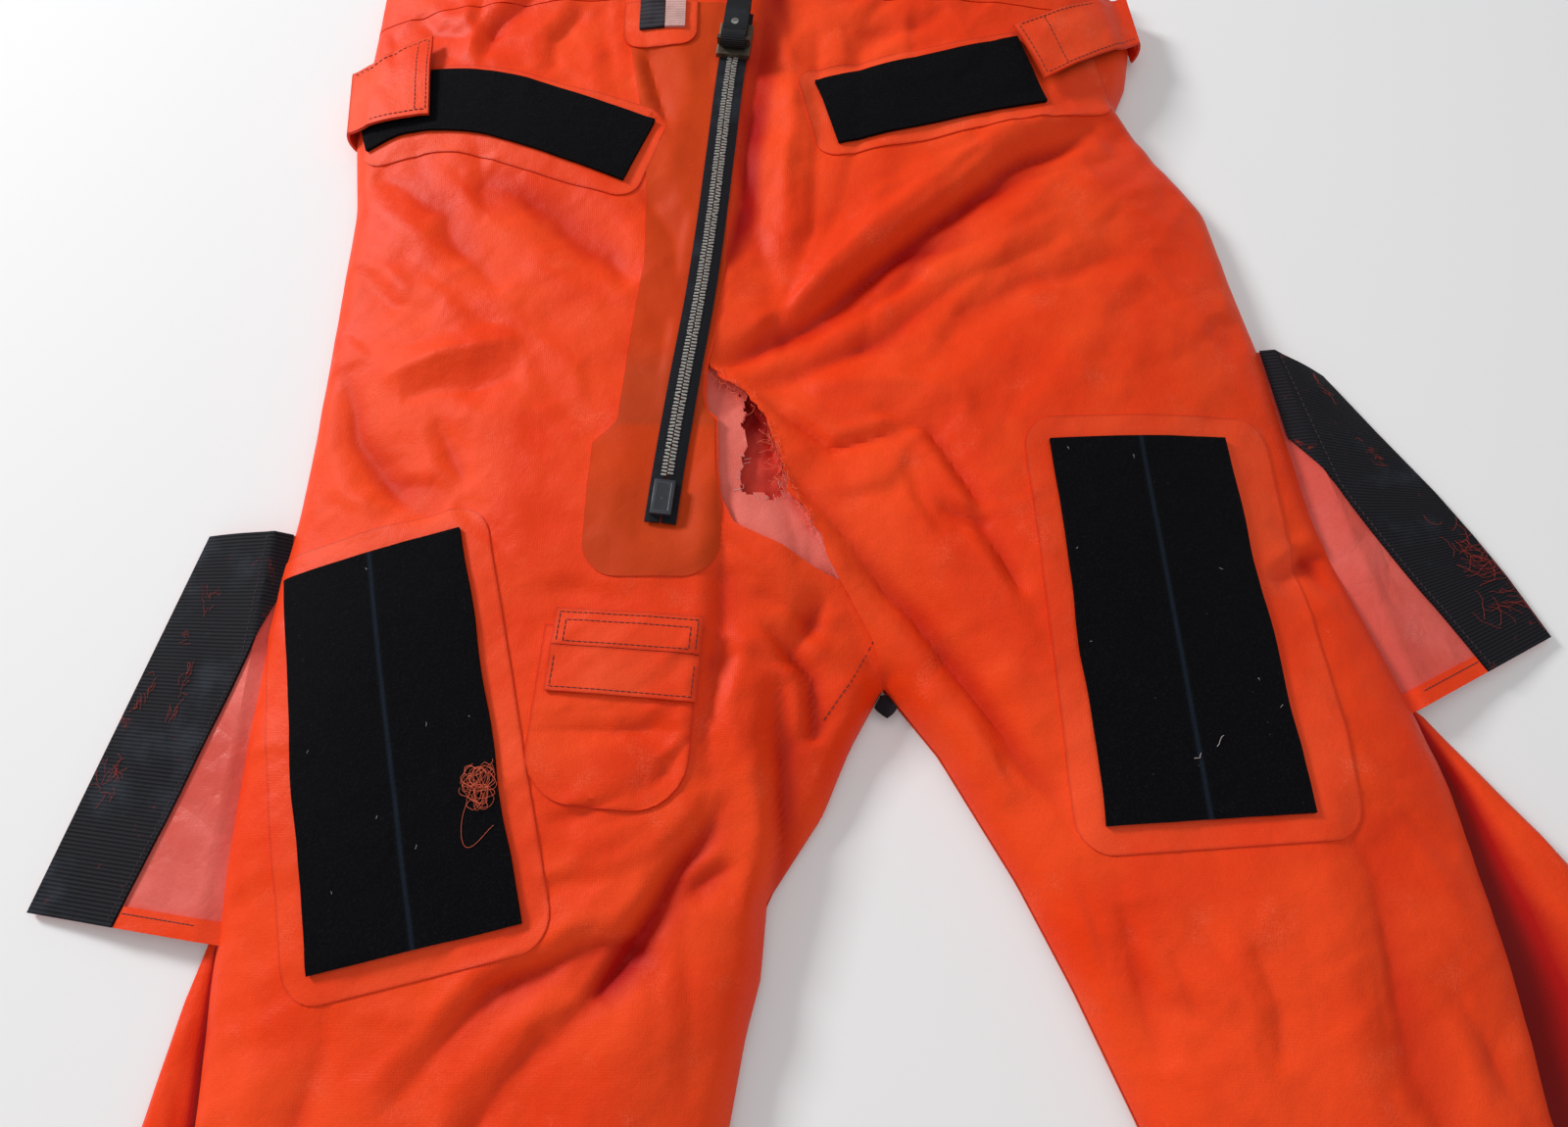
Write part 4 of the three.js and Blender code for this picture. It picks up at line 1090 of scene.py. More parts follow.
def laid(
    name, centre, width, length, turn, radius, lift, wall, keep=None, corners=(1, 1, 1, 1), grid=(30, 50),
    marks=None, wave=0.0, outside=lambda u: u >= 0
):
    c, s = math.cos(math.radians(turn)), math.sin(math.radians(turn))
    us = closeEnds(width, grid[0], (0, 0.7, 1.6, 3))
    vs = closeEnds(
        length, grid[1],
        tuple(radius * f for f in (0, 0.02, 0.07, 0.16, 0.3, 0.5, 0.75, 1)) if radius else (0, 0.7, 1.6, 3)
    )

    def place(u, v):
        b = (v - 0.5) * length
        into = np.maximum(0, np.abs(b) - (length / 2 - radius))
        cut = radius - np.sqrt(np.maximum(0, radius * radius - into * into))
        low = b < 0
        left = -width / 2 + cut * np.where(low, corners[0], corners[2])
        right = width / 2 - cut * np.where(low, corners[1], corners[3])
        a = mix(left, right, u)
        a = a + wave * softNoise(
            b, a * 0 + (u > 0.5) * 50, 34, 91
        ) * np.where(outside(u), np.abs(2 * u - 1), 0)
        x = centre[0] + a * c - b * s
        y = centre[1] + a * s + b * c
        if keep:
            x = keep(x, y)
        return x, y, surface(x, y, lift)

    piece = clothSheet(name, us, vs, place, wall, (width, length), marks or edgeMarks(width, length))
    flat = lambda u, v: (*place(u, v)[:2], 0 * u)
    return piece, us, vs, flat


def along(name, points, width, lift, wall, ends=0, grid=(70, 18), marks=None):
    knots = np.array(points, float)
    steps = np.concatenate([[0], np.cumsum(np.hypot(*np.diff(knots, axis=0).T))])
    length = steps[-1]
    fine = np.linspace(0, length, 200)
    px, py = np.interp(fine, steps, knots[:, 0]), np.interp(fine, steps, knots[:, 1])
    smooth = np.ones(31) / 31
    px = np.convolve(np.pad(px, 15, mode="reflect", reflect_type="odd"), smooth, "valid")
    py = np.convolve(np.pad(py, 15, mode="reflect", reflect_type="odd"), smooth, "valid")
    tx, ty = np.gradient(px, fine), np.gradient(py, fine)
    us = closeEnds(
        length, grid[0],
        tuple(ends * f for f in (0, 0.02, 0.07, 0.16, 0.3, 0.5, 0.75, 1)) if ends else (0, 0.7, 1.6, 3)
    )
    vs = closeEnds(width, grid[1], (0, 0.7, 1.6, 3))

    def place(u, v):
        s = u * length
        d = np.minimum(u, 1 - u) * length
        into = np.maximum(0, ends - d)
        half = width / 2 - (ends - np.sqrt(np.maximum(0, ends * ends - into * into)))
        b = (v - 0.5) * 2 * half
        nx, ny = np.interp(s, fine, -ty), np.interp(s, fine, tx)
        x = np.interp(s, fine, px) + nx * b
        y = np.interp(s, fine, py) + ny * b
        return x, y, surface(x, y, lift)

    piece = clothSheet(name, us, vs, place, wall, (length, width), marks or edgeMarks(length, width))
    return piece, us, vs, lambda u, v: (*place(u, v)[:2], 0 * u)


def sewn(made, material, body, slot, cad):
    piece, us, vs, place = made
    dress(piece, material, body, slot, cad)
    declare(piece, us, vs, place)


for side in ("right", "left"):
    spot = thigh[side]
    turn = math.radians(spot["turn"])
    away = lambda off: (spot["centre"][0] + off * math.cos(turn), spot["centre"][1] + off * math.sin(turn))
    if side == "right":
        hold = lambda x, y: np.maximum(x, at("rightFront", y) + 1.5)
    else:
        hold = lambda x, y: np.minimum(x, at("leftFront", y) - 1.5)
    wide, long = 2 * tape["wide"] + spot["extra"], tape["long"] + 27
    sewn(
        laid(
            side + "ThighPatch", away(spot["shift"]), wide, long, spot["turn"], 18, layer["patch"], 0.9,
            hold, grid=(46, 70)
        ),
        orangePatch, "trousers", "patch", "thigh_patch_" + side,
    )
    for where, off in (("outer", -1), ("inner", 1)):
        sign = off if side == "right" else -off
        toSeam = (lambda u: 1 - u) if (sign < 0) else (lambda u: u)
        marks = lambda u, v, x, y, f=toSeam: {"rim": np.clip(1.3 - f(u) * tape["wide"] / 1.3, 0, 1)}
        sewn(
            laid(
                side + "ThighLoop" + where.capitalize(), away(sign * tape["wide"] / 2), tape["wide"],
                tape["long"], spot["turn"], 0, layer["pile"], 2.0, hold, grid=(22, 86), marks=marks,
                wave=1.0, outside=lambda u, f=toSeam: f(u) > 0.5
            ),
            blackPile, "trousers", "loop_pile", "thigh_loop_" + side + "_" + where,
        )
    sewn(
        along(
            side + "WaistPatch", waistPatchLine[side], waistWide[side] + 19, layer["patch"], 0.9, 14
        ),
        orangePatch, "trousers", "patch", "waist_patch_" + side,
    )
    sewn(
        along(
            side + "WaistLoop", waistLine[side], waistWide[side], layer["pile"], 2.0,
            marks=lambda u, v, x, y: {"rim": 0 * u}
        ),
        blackPile, "trousers", "loop_pile", "waist_loop_" + side,
    )
print("patches and loop tapes made")


# stitches, teeth and other small pieces that repeat

def joinedCopies(name, base, places):
    nothingSelected()
    copies = []
    for place in places:
        copy = base.copy()
        copy.data = base.data.copy()
        copy.data.transform(place)
        bpy.context.collection.objects.link(copy)
        copy.select_set(True)
        copies.append(copy)
    bpy.context.view_layer.objects.active = copies[0]
    bpy.ops.object.join()
    made = bpy.context.object
    made.name = made.data.name = name
    base.select_set(False)
    return made


def removeBase(base):
    bpy.data.objects.remove(base, do_unlink=True)


stitch = {"long": 3.1, "pitch": 3.4, "thick": 0.27}


def stitchBase():
    nothingSelected()
    bpy.ops.mesh.primitive_uv_sphere_add(segments=6, ring_count=4, radius=0.0005)
    base = bpy.context.object
    base.data.transform(Matrix.Diagonal((stitch["long"], stitch["thick"] * 2, stitch["thick"] * 2, 1)))
    bpy.ops.object.shade_smooth()
    return base


oneStitch = stitchBase()


def stitchRow(name, paths, height, material, body, slot, pitch=None):
    pitch = pitch or stitch["pitch"]
    places = []
    for points in paths:
        knots = np.array(points, float)
        steps = np.concatenate([[0], np.cumsum(np.hypot(*np.diff(knots, axis=0).T))])
        count = max(2, int(steps[-1] / pitch))
        s = (np.arange(count) + 0.5) / count * steps[-1]
        x, y = np.interp(s, steps, knots[:, 0]), np.interp(s, steps, knots[:, 1])
        e = 1.0
        xa, ya = np.interp(s - e, steps, knots[:, 0]), np.interp(s - e, steps, knots[:, 1])
        xb, yb = np.interp(s + e, steps, knots[:, 0]), np.interp(s + e, steps, knots[:, 1])
        za, zb, z = height(xa, ya), height(xb, yb), height(x, y)
        for i in range(count):
            run = Vector((xb[i] - xa[i], yb[i] - ya[i], zb[i] - za[i])).normalized()
            turn = run.to_track_quat("X", "Z").to_matrix().to_4x4()
            spot = toFrame(x[i], y[i], z[i] + 0.12)
            places.append(Matrix.Translation(Vector(spot)) @ turn)
    made = joinedCopies(name, oneStitch, places)
    return dress(made, material, body, slot)


# waist tabs

tab = {
    "right": {"foot": [(-315.5, 357), (-318, 403)], "tip": [(-260, 357), (-265, 421)]},
    "left": {"foot": [(185, 429), (179.5, 467)], "tip": [(117, 384), (99, 422)]},
}


def tabPoint(side, a, b):
    foot, tip = tab[side]["foot"], tab[side]["tip"]
    x = mix(mix(foot[0][0], foot[1][0], b), mix(tip[0][0], tip[1][0], b), a)
    y = mix(mix(foot[0][1], foot[1][1], b), mix(tip[0][1], tip[1][1], b), a)
    return x, y


def tabHeight(side, a, x, y, lift):
    # the foot stands at the height of the sewn root, the tip lies on the strip
    rest = surface(np.where(side == "right", np.maximum(x, -304), np.minimum(x, 172)), y, lift)
    foot = drawn["shoulder"] + layer["tab"] - 0.4
    return mix(
        foot, np.maximum(rest, foot), ramp(0.0, 0.28, a)
    ) + 1.0 * np.sin(np.pi * np.clip(a, 0, 1)) * 1.3


def waistTab(side):
    right = side == "right"
    length = math.dist(tab[side]["foot"][0], tab[side]["tip"][0])
    width = math.dist(tab[side]["tip"][0], tab[side]["tip"][1])

    def sheet(name, start, end, inset, lift, wall, material, slot, cad, flat, bow):
        def place(u, v):
            a = mix(start, end, u if right else 1 - u)
            b = mix(inset, 1 - inset, v)
            wave = bow * np.sin(np.pi * v) * a * 1.4
            x, y = tabPoint(side, a, b)
            return x, y, tabHeight(side, a, x, y, lift) + wave
        us, vs = closeEnds(length, 26, (0, 0.5, 1.2, 2.4)), closeEnds(width, 22, (0, 0.5, 1.2, 2.4))
        made = clothSheet(name, us, vs, place, wall, (length, width), edgeMarks(length, width, 1.0))
        dress(made, material, "waist_tab_" + side, slot, cad)
        declare(made, us, vs, lambda u, v: (*place(u, v)[:2], 0 * u))
        return made

    sheet(
        side + "WaistTab", 0, 1, 0, layer["tab"] + 1.0, 1.9, orangePatch, "shell", "waist_tab_" + side,
        cut["tab"][side], 0.6
    )
    sheet(
        side + "TabHook", 0.14, 0.965, 0.035, layer["tab"] - 1.0, 1.4, hookPlain, "hook_tape",
        "waist_tab_hook_" + side, cut["tabHook"][side], 0.6
    )

    def lineOf(pairs):
        return [tabPoint(side, a, b) for a, b in pairs]

    rows = [
        lineOf([(0.04, 0.07), (0.95, 0.05)]),
        lineOf([(0.04, 0.93), (0.95, 0.95)]),
        lineOf([(0.84 if right else 0.76, 0.06), (0.84 if right else 0.76, 0.95)]),
        lineOf([(0.965, 0.05), (0.965, 0.95)]),
    ]
    foot, tip = tab[side]["foot"], tab[side]["tip"]
    mid = lambda p, q: ((p[0] + q[0]) / 2, (p[1] + q[1]) / 2)
    m0, m1 = np.array(mid(*foot)), np.array(mid(*tip))
    run = (m1 - m0) / np.linalg.norm(m1 - m0)
    across = np.array([-run[1], run[0]])

    def height(x, y):
        a = np.clip(((x - m0[0]) * run[0] + (y - m0[1]) * run[1]) / np.linalg.norm(m1 - m0), 0, 1)
        b = ((x - m0[0]) * across[0] + (y - m0[1]) * across[1]) / width + 0.5
        return tabHeight(side, a, x, y, layer["tab"] + 1.0) + 0.6 * np.sin(np.pi * np.clip(b, 0, 1)) * a * 1.4
    stitchRow(side + "TabStitches", rows, height, darkThread, "waist_tab_" + side, "shell", 3.2)

    # the root wraps round the side of the waist
    p, q = tab[side]["foot"]
    out = -1 if right else 1

    def rootPlace(u, v):
        turn = u * np.pi * 0.5
        x = mix(p[0], q[0], v) + out * 2.2 * np.sin(np.pi * u) ** 0.7
        return x, mix(p[1], q[1], v), mix(2.2, drawn["shoulder"] + layer["tab"] - 0.6, u)
    us, vs = closeEnds(18, 10, (0, 0.5, 1.2)), closeEnds(42, 16, (0, 0.5, 1.2, 2.4))
    root = clothSheet(side + "TabRoot", us, vs, rootPlace, 0, (18, 42), edgeMarks(18, 42, 1.0))
    finished(root, 1.6 if right else -1.6)
    dress(root, orangePatch, "trousers", "shell", "waist_tab_root_" + side)
    declare(root, us, vs, rootPlace)


for side in ("right", "left"):
    waistTab(side)
print("waist tabs made")


# zip: everything here is placed along the zip's own line

def onZip(x, y, z):
    c, s = math.cos(zipLine["tilt"]), math.sin(zipLine["tilt"])
    fx, fy = zipLine["foot"]
    return fx + x * c + y * s, fy - x * s + y * c, zipLine["height"] + z


def zipMatrix(x, y, z):
    wx, wy, wz = onZip(x, y, z)
    return Matrix.Translation(Vector(toFrame(wx, wy, wz))) @ Matrix.Rotation(-zipLine["tilt"], 4, "Z")


def zipTape(side):
    out = -1 if side == "right" else 1

    def place(u, v):
        y = mix(-24.5, 321, v)
        across = mix(0.5, 8.4, u if out > 0 else 1 - u) * out
        wave = 0.5 * softNoise(y, 0 * y, 40, 101)
        droop = 0.9 * ((np.abs(across) - 3) / 5.6).clip(0, 1) ** 1.5
        x, yy, z = onZip(across + wave * 0.5 + zipBow(y), y, 1.45 - droop)
        return x, yy, z
    us, vs = closeEnds(8, 5, (0, 0.5, 1.2)), even(170)
    piece = clothSheet(side + "ZipTape", us, vs, place, 1.0, (8, 346), edgeMarks(8, 346, 0.6))
    dress(piece, zipTapeCloth, "trousers", "zip_tape", "zip_tape_" + side)
    declare(piece, us, vs, place)


def toothBase():
    nothingSelected()
    bpy.ops.mesh.primitive_cube_add(size=1)
    tooth = bpy.context.object
    tooth.data.transform(Matrix.Diagonal((0.0031, 0.0012, 0.0021, 1)))
    bpy.ops.object.mode_set(mode="EDIT")
    bpy.ops.mesh.select_all(action="SELECT")
    bpy.ops.mesh.bevel(offset=0.0003, segments=1, affect="EDGES")
    bpy.ops.object.mode_set(mode="OBJECT")
    return tooth


def zipTeeth():
    tooth = toothBase()
    for side, out in (("right", -1), ("left", 1)):
        places = []
        for i in range(int((zipLine["rows"] - 4) / 2.05)):
            y = 2.5 + 2.05 * i + (1.02 if out > 0 else 0)
            jitter = rng.normal(0, 1, 3)
            place = zipMatrix(out * (1.74 + 0.08 * jitter[0]) + float(zipBow(y)), y, 1.26 + 0.05 * jitter[1])
            twist, tip = Matrix.Rotation(0.16 * jitter[2], 4, "Z"), Matrix.Rotation(out * 0.09, 4, "Y")
            places.append(place @ twist @ tip)
        made = joinedCopies(side + "ZipTeeth", tooth, places)
        dress(made, greyTeeth, "trousers", "metal", "zip_teeth_" + side)
    removeBase(tooth)


for side in ("right", "left"):
    zipTape(side)
zipTeeth()


def dockingEnd():
    nothingSelected()
    bpy.ops.mesh.primitive_cube_add(size=1)
    block = bpy.context.object
    block.name = block.data.name = "dockingEnd"
    block.data.transform(Matrix.Diagonal((0.0112, 0.0195, 0.0042, 1)))
    bpy.ops.object.mode_set(mode="EDIT")
    bpy.ops.mesh.select_mode(type="FACE")
    bpy.ops.mesh.select_all(action="DESELECT")
    bpy.ops.object.mode_set(mode="OBJECT")
    for face in block.data.polygons:
        face.select = face.normal.z > 0.9
    bpy.ops.object.mode_set(mode="EDIT")
    bpy.ops.mesh.inset(thickness=0.0016, depth=0)
    bpy.ops.transform.translate(value=(0, 0, 0.0005))
    bpy.ops.mesh.inset(thickness=0.0004, depth=-0.0003)
    bpy.ops.object.mode_set(mode="OBJECT")
    round_ = block.modifiers.new("edges", "BEVEL")
    round_.width, round_.segments, round_.limit_method = 0.0007, 3, "ANGLE"
    bpy.ops.object.modifier_apply(modifier="edges")
    block.data.transform(zipMatrix(0, -11.4, 3.1))
    bpy.ops.object.shade_smooth_by_angle(angle=math.radians(35))
    dress(block, mouldedBlack, "trousers", "moulded", "zip_docking_end")


dockingEnd()
for cadName, material in (
    ("zip_top_stop", agedBrass), ("zip_slider", agedBrass), ("slider_bail", agedBrass),
    ("pull_rivet", rivetSteel)
):
    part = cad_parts[cadName]
    part.data.materials.clear()
    part.data.materials.append(material)


def zipBand():
    low, high = 58, drawn["waist"] - drawn["band"] - 4

    def place(u, v):
        y = mix(low, high, v)
        into = np.maximum(0, low + 20 - y)
        cut = 20 - np.sqrt(np.maximum(0, 400 - into * into))
        left = np.interp(
            y, [58, 134, 147, 190, 250, 330, 407, 441], [-150, -147, -134, -131, -124, -126, -139, -141]
        ) + cut
        torn = np.minimum(at("tornEdge", y), at("centreFront", y)) - 1.6
        right = np.minimum(torn, -77) - cut
        x = mix(left, right, u)
        return x, y, surface(x, y, layer["patch"] - 0.1)

    us = closeEnds(60, 24, (0, 0.7, 1.6, 3))
    vs = closeEnds(383, 110, (0, 0.3, 0.9, 2, 4, 7, 11, 15, 20))
    marks = lambda u, v, x, y: {
        "rim": np.clip(1 - np.minimum(np.minimum(u, 1 - u) * 60, v * 383) / 1.2, 0, 1) * 0.8,
        "stain": np.maximum(
            (1 - ramp(-90, -72, x)) * ramp(142, 146, y) * (1 - ramp(176, 196, y)),
            ramp(-152, -148, x) * (1 - ramp(92, 124, y)) * 0.55 + 0.2 * ramp(196, 240, y)),
    }
    piece = clothSheet("zipBand", us, vs, place, 0.8, (60, 383), marks)
    dress(piece, zipFilm, "trousers", "patch", "zip_patch")
    tree = zipFilm.node_tree
    shader = tree.nodes["Principled BSDF"]
    before = shader.inputs["Base Color"].links[0].from_socket
    stain = node(tree, "ShaderNodeAttribute", attribute_name="stain")
    link(
        tree,
        blendColour(tree, maths(tree, "MULTIPLY", stain.outputs["Fac"], 0.4), before, rgb(160, 62, 30)),
        shader.inputs["Base Color"]
    )
    declare(
        piece, us, vs, lambda u, v: (*place(u, v)[:2], 0 * u)
    )


zipBand()


def pullStrap():
    # a folded strap: loop round the bar, tail over the slider
    bar, barZ, half, long, thick = 292, 9.4, 7.4, 64, 1.3
    ring = [(4 * math.cos(a), 4 * math.sin(a)) for a in np.linspace(0.33, 2 * math.pi - 0.33, 22)]
    outer = [
        (long, thick - 0.3), (long - 3, thick), (30, thick + 0.1), (12, thick + 0.5), (6, thick + 0.5)
    ] + ring + [(6, -thick), (30, -thick), (long, -thick + 0.3)]

    def place(u, v):
        n = len(outer)
        steps = np.array(outer)
        run = np.concatenate([[0], np.cumsum(np.hypot(*np.diff(steps, axis=0).T))])
        s = v * run[-1]
        py, pz = np.interp(s, run, steps[:, 0]), np.interp(s, run, steps[:, 1])
        taper = 1 - 0.14 * ramp(20, 60, py)
        x, y, z = onZip(mix(-half, half, u) * taper, bar + py, barZ + pz)
        return x, y, z
    us, vs = closeEnds(15, 8, (0, 0.4, 1.1)), even(120)
    strap = clothSheet("pullStrap", us, vs, place, 0, (15, 150), edgeMarks(15, 150, 0.8))
    finished(strap, 1.1)
    dress(strap, blackStrap, "pull", "strap", "pull_strap")
    declare(strap, us, vs, place)


pullStrap()
print("zip made")


# webbing ends in their patch

sewn(
    laid(
        "webbingPatch", (-121, 423), 46, 36, 0, 12, layer["patch"] + 1.0, 0.9, corners=(1, 1, 0, 0),
        grid=(20, 16)
    ),
    orangePatch, "trousers", "patch", "webbing_patch"
)
sewn(
    laid(
        "blackWebbingEnd", (-126, 429), 15.5, 23, 0, 0, layer["patch"] + 3.0, 1.8, grid=(8, 10)
    ),
    blackWebbing, "trousers", "webbing", "webbing_end_black"
)
sewn(
    laid(
        "paleWebbingEnd", (-111.5, 429), 12.5, 23, 0, 0, layer["patch"] + 2.8, 1.6, grid=(8, 10)
    ),
    paleWebbing, "trousers", "pale_webbing", "webbing_end_pale"
)


# torn crotch: liner with its hole, the red cloth below, the gusset

tear = {
    "hole": [
        (-65, 166), (-67, 147), (-64, 135), (-66, 123), (-68, 110), (-65, 105), (-57, 107),
        (-49, 102), (-46, 104), (-45, 113), (-42, 122), (-28, 124), (-28, 170),
    ],
}


def insidePolygon(points, x, y):
    inside = np.zeros(x.shape, bool)
    for (ax, ay), (bx, by) in zip(points, points[1:] + points[:1]):
        crosses = (ay > y) != (by > y)
        with np.errstate(divide="ignore", invalid="ignore"):
            inside ^= crosses & (x < (bx - ax) * (y - ay) / (by - ay + 1e-12) + ax)
    return inside


def crotchLiner():
    low, high = 40, 196

    def place(u, v):
        y = mix(low, high, v)
        x = mix(at("tornEdge", y) - 9, at("centreFront", y) + 9, u)
        dip = 3.0 + 3.2 * (1 - ramp(56, 74, y)) + 0.9 * softNoise(x, y, 24, 111) + 0.2 * creases(
            x, y, 70, 2.5, 22, 113
        )
        return x, y, surface(x, y, -dip)

    us, vs = even(56), even(110)
    # painted shade along the liner's creases
    marks = lambda u, v, x, y: {"valley": np.clip(0.2 * creases(x, y, 70, 2.5, 22, 113), 0, 0.3)}
    piece = clothSheet("crotchLiner", us, vs, place, 0, (70, 156), marks)
    nothingSelected()
    piece.select_set(True)
    bpy.context.view_layer.objects.active = piece
    centres = np.empty(len(piece.data.polygons) * 3)
    piece.data.polygons.foreach_get("center", centres)
    centres = centres.reshape(-1, 3) * 1000
    x, y = centres[:, 0] - drawingOrigin[0], centres[:, 1] - drawingOrigin[1]
    x = x + softNoise(y, 0 * y, 2.6, 115) * 1.6
    piece.data.polygons.foreach_set("select", insidePolygon(tear["hole"], x, y))
    bpy.ops.object.mode_set(mode="EDIT")
    bpy.ops.mesh.select_mode(type="FACE")
    bpy.ops.mesh.delete(type="FACE")
    bpy.ops.object.mode_set(mode="OBJECT")
    finished(piece, 0.7)
    dress(piece, pinkLinerLit, "trousers", "inner", "crotch_liner")
    declare(piece, us, vs, lambda u, v: (*place(u, v)[:2], 0 * u))

    def below(u, v):
        y = mix(96, 172, v)
        x = mix(-76, -30, u)
        return x, y, surface(x, y, -9 + 2.2 * softNoise(x, y, 11, 117) + 1.6 * creases(x, y, 60, 2, 12, 119))
    us, vs = even(30), even(44)
    # painted shade: the red cloth inside the tear is darker towards the top and along its creases
    marks = lambda u, v, x, y: {"valley": np.clip((y - 132) / 30 + 0.2 + 0.3 * creases(x, y, 60, 2, 12, 119), 0, 1)}
    inner = clothSheet("innerSeam", us, vs, below, 0.8, (46, 76), marks)
    dress(inner, redInner, "trousers", "inner")
    declare(inner, us, vs, lambda u, v: (*below(u, v)[:2], 0 * u))

    def gusset(u, v):
        y = mix(-9 + 6 * np.abs(2 * u - 1), 3, v)
        x = mix(at("rightInner", y) + 0.5, at("leftInner", y) - 0.5, u)
        return x, y, 6.5 + 2.2 * np.sin(np.pi * u) * v + 0.8 * softNoise(x, y, 7, 121)
    us, vs = even(24), even(16)
    made = clothSheet("crotchGusset", us, vs, gusset, 1.6, (30, 12))
    dress(made, hookPlain, "trousers", "moulded", "crotch_gusset")
    declare(made, us, vs, gusset)


crotchLiner()
print("tear and liner made")


# thigh pocket

pocket = {"centre": (-124, 17), "turn": -4.6, "wide": 76}


def onPocket(a, b):
    r = math.radians(pocket["turn"])
    x, y = pocket["centre"]
    return x + a * math.cos(r) - b * math.sin(r), y + a * math.sin(r) + b * math.cos(r)


flapLift = 4.2
sewn(
    laid(
        "pocketBag", onPocket(-3, -32), pocket["wide"] + 4, 90, pocket["turn"], 27, 1.7, 1.3,
        corners=(1, 1, 0, 0), grid=(34, 40)
    ),
    orangeShell, "trousers", "shell", "pocket_bag"
)
sewn(
    laid(
        "pocketFlapTop", onPocket(0, 12), pocket["wide"], 19.6, pocket["turn"], 0, flapLift, 1.8,
        grid=(36, 10)
    ),
    orangePatch, "trousers", "shell", "pocket_flap_root"
)
flap, us, vs, place = laid(
    "pocketFlap", onPocket(0, -9.9), pocket["wide"], 23.6, pocket["turn"], 0, flapLift, 1.8, grid=(36, 18)
)
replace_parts(flap, "pocket_flap")
flap.data.materials.append(orangePatch)
declare(flap, us, vs, place)
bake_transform(flap)
half = pocket["wide"] / 2
topHeight = lambda x, y: surface(x, y, flapLift)
box_ = lambda a, b, c, d: [onPocket(a, b), onPocket(c, b), onPocket(c, d), onPocket(a, d), onPocket(a, b)]
stitchRow("flapTopStitches", [
    [
        onPocket(-half + 2.5, 4.0), onPocket(-half + 2.5, 19.6), onPocket(half - 2.5, 19.6),
        onPocket(half - 2.5, 4.0)
    ],
    box_(-half + 6, 15.5, half - 6, 4.2),
], topHeight, darkThread, "trousers", "shell", 3.0)
stitchRow("flapStitches", [
    [
        onPocket(-half + 2.5, -3.6), onPocket(-half + 2.5, -19.6), onPocket(half - 2.5, -19.6),
        onPocket(half - 2.5, -3.6)
    ],
], topHeight, darkThread, "pocket_flap", "shell", 3.0)
stitchRow(
    "inseamStitches", [[(3, 29), (-10, 6), (-24, -13)]], lambda x, y: surface(x, y, 0, "right"), darkThread,
    "trousers", "shell", 3.2
)
print("pocket made")


# leg wings

wing = {
    "right": {"axis": [(-328.5, -120), (-322.5, 93)], "outer": [(-419, -106), (-391, -6), (-363, 94)]},
    "left": {
        "axis": [(289, -4), (241, 206)],
        "outer": [(369, 36), (353, 70), (339, 95), (323, 121), (297, 158), (272, 195)]
    },
    "height": 13, "band": {"right": (47, 12), "left": (45, 24)},
}


def wingParts(side):
    right = side == "right"
    axis, outer = wing[side]["axis"], wing[side]["outer"]
    knots = np.array(outer, float)
    run = np.linspace(0, 1, len(knots))

    def ends(v):
        hx, hy = mix(axis[0][0], axis[1][0], v), mix(axis[0][1], axis[1][1], v)
        return hx, hy, np.interp(v, run, knots[:, 0]), np.interp(v, run, knots[:, 1])

    def point(share, v, lift):
        hx, hy, ox, oy = ends(v)
        x, y = mix(hx, ox, share), mix(hy, oy, share)
        t = np.clip(share, 0, 1)
        z = mix(wing["height"], 1.6, t ** 0.8) + np.minimum(share, 0) * 26
        z = z + (0.9 * softNoise(x, y, 30, 131) + 0.9) * np.sin(np.pi * t)
        return x, y, z + lift

    def sheet(name, us, vs, share, lift, wall, material, slot, cad, flat, size, marks=None):
        def place(u, v):
            s = 1 - u if right else u
            return point(share(s, v), v, lift)
        made = clothSheet(name, us, vs, place, wall, size, marks)
        if cad:
            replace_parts(made, cad)
        made.data.materials.append(material)
        declare(made, us, vs, place)
        return made

    span = 90
    rows = closeEnds(214, 70, (0, 0.7, 1.6, 3))
    bandStart = lambda v: np.maximum(
        -0.22,
        1 - (wing["band"][side][0] + wing["band"][side][1] * v) / np.hypot(*np.subtract(ends(v)[2:], ends(v)[:2]))
    )
    whole = sheet(
        side + "WingCloth", closeEnds(span, 34), rows, lambda s, v: mix(-0.25, 1, s), 0.5, 1.0, pinkInner,
        "inner", "wing_panel_" + side, cut["wing"][side], (span, 214)
    )
    whole.data.materials.append(orangeShell)  # the outer face lies on the floor
    for face in whole.data.polygons:
        face.material_index = int(face.normal.z < 0)
    (ax, ay), (bx, by) = axis
    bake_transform(whole)
    hook = sheet(
        side + "WingHook", closeEnds(45, 20), rows, lambda s, v: mix(bandStart(v), 1.0, s), 2.4, 1.7,
        hookRibs, "hook_tape", "wing_hook_" + side, cut["wingHook"][side], (45, 214)
    )
    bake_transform(hook)
    hem = sheet(
        side + "WingHem", closeEnds(60, 20), mix(0.0, 0.05, closeEnds(10, 6, (0, 0.5, 1.2))),
        lambda s, v: mix(-0.2, bandStart(v) - 0.01, s), 1.5, 0.9, orangePatch, "shell", "wing_hem_" + side,
        cut["wingHem"], (60, 10)
    )
    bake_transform(hem)
    return point, bandStart


wingPoint = {side: wingParts(side) for side in ("right", "left")}


def betweenPoints(a, b):
    turn = Vector(b - a).normalized().to_track_quat("X", "Z").to_matrix().to_4x4()
    return Matrix.Translation(Vector(toFrame(*((a + b) / 2)))) @ turn


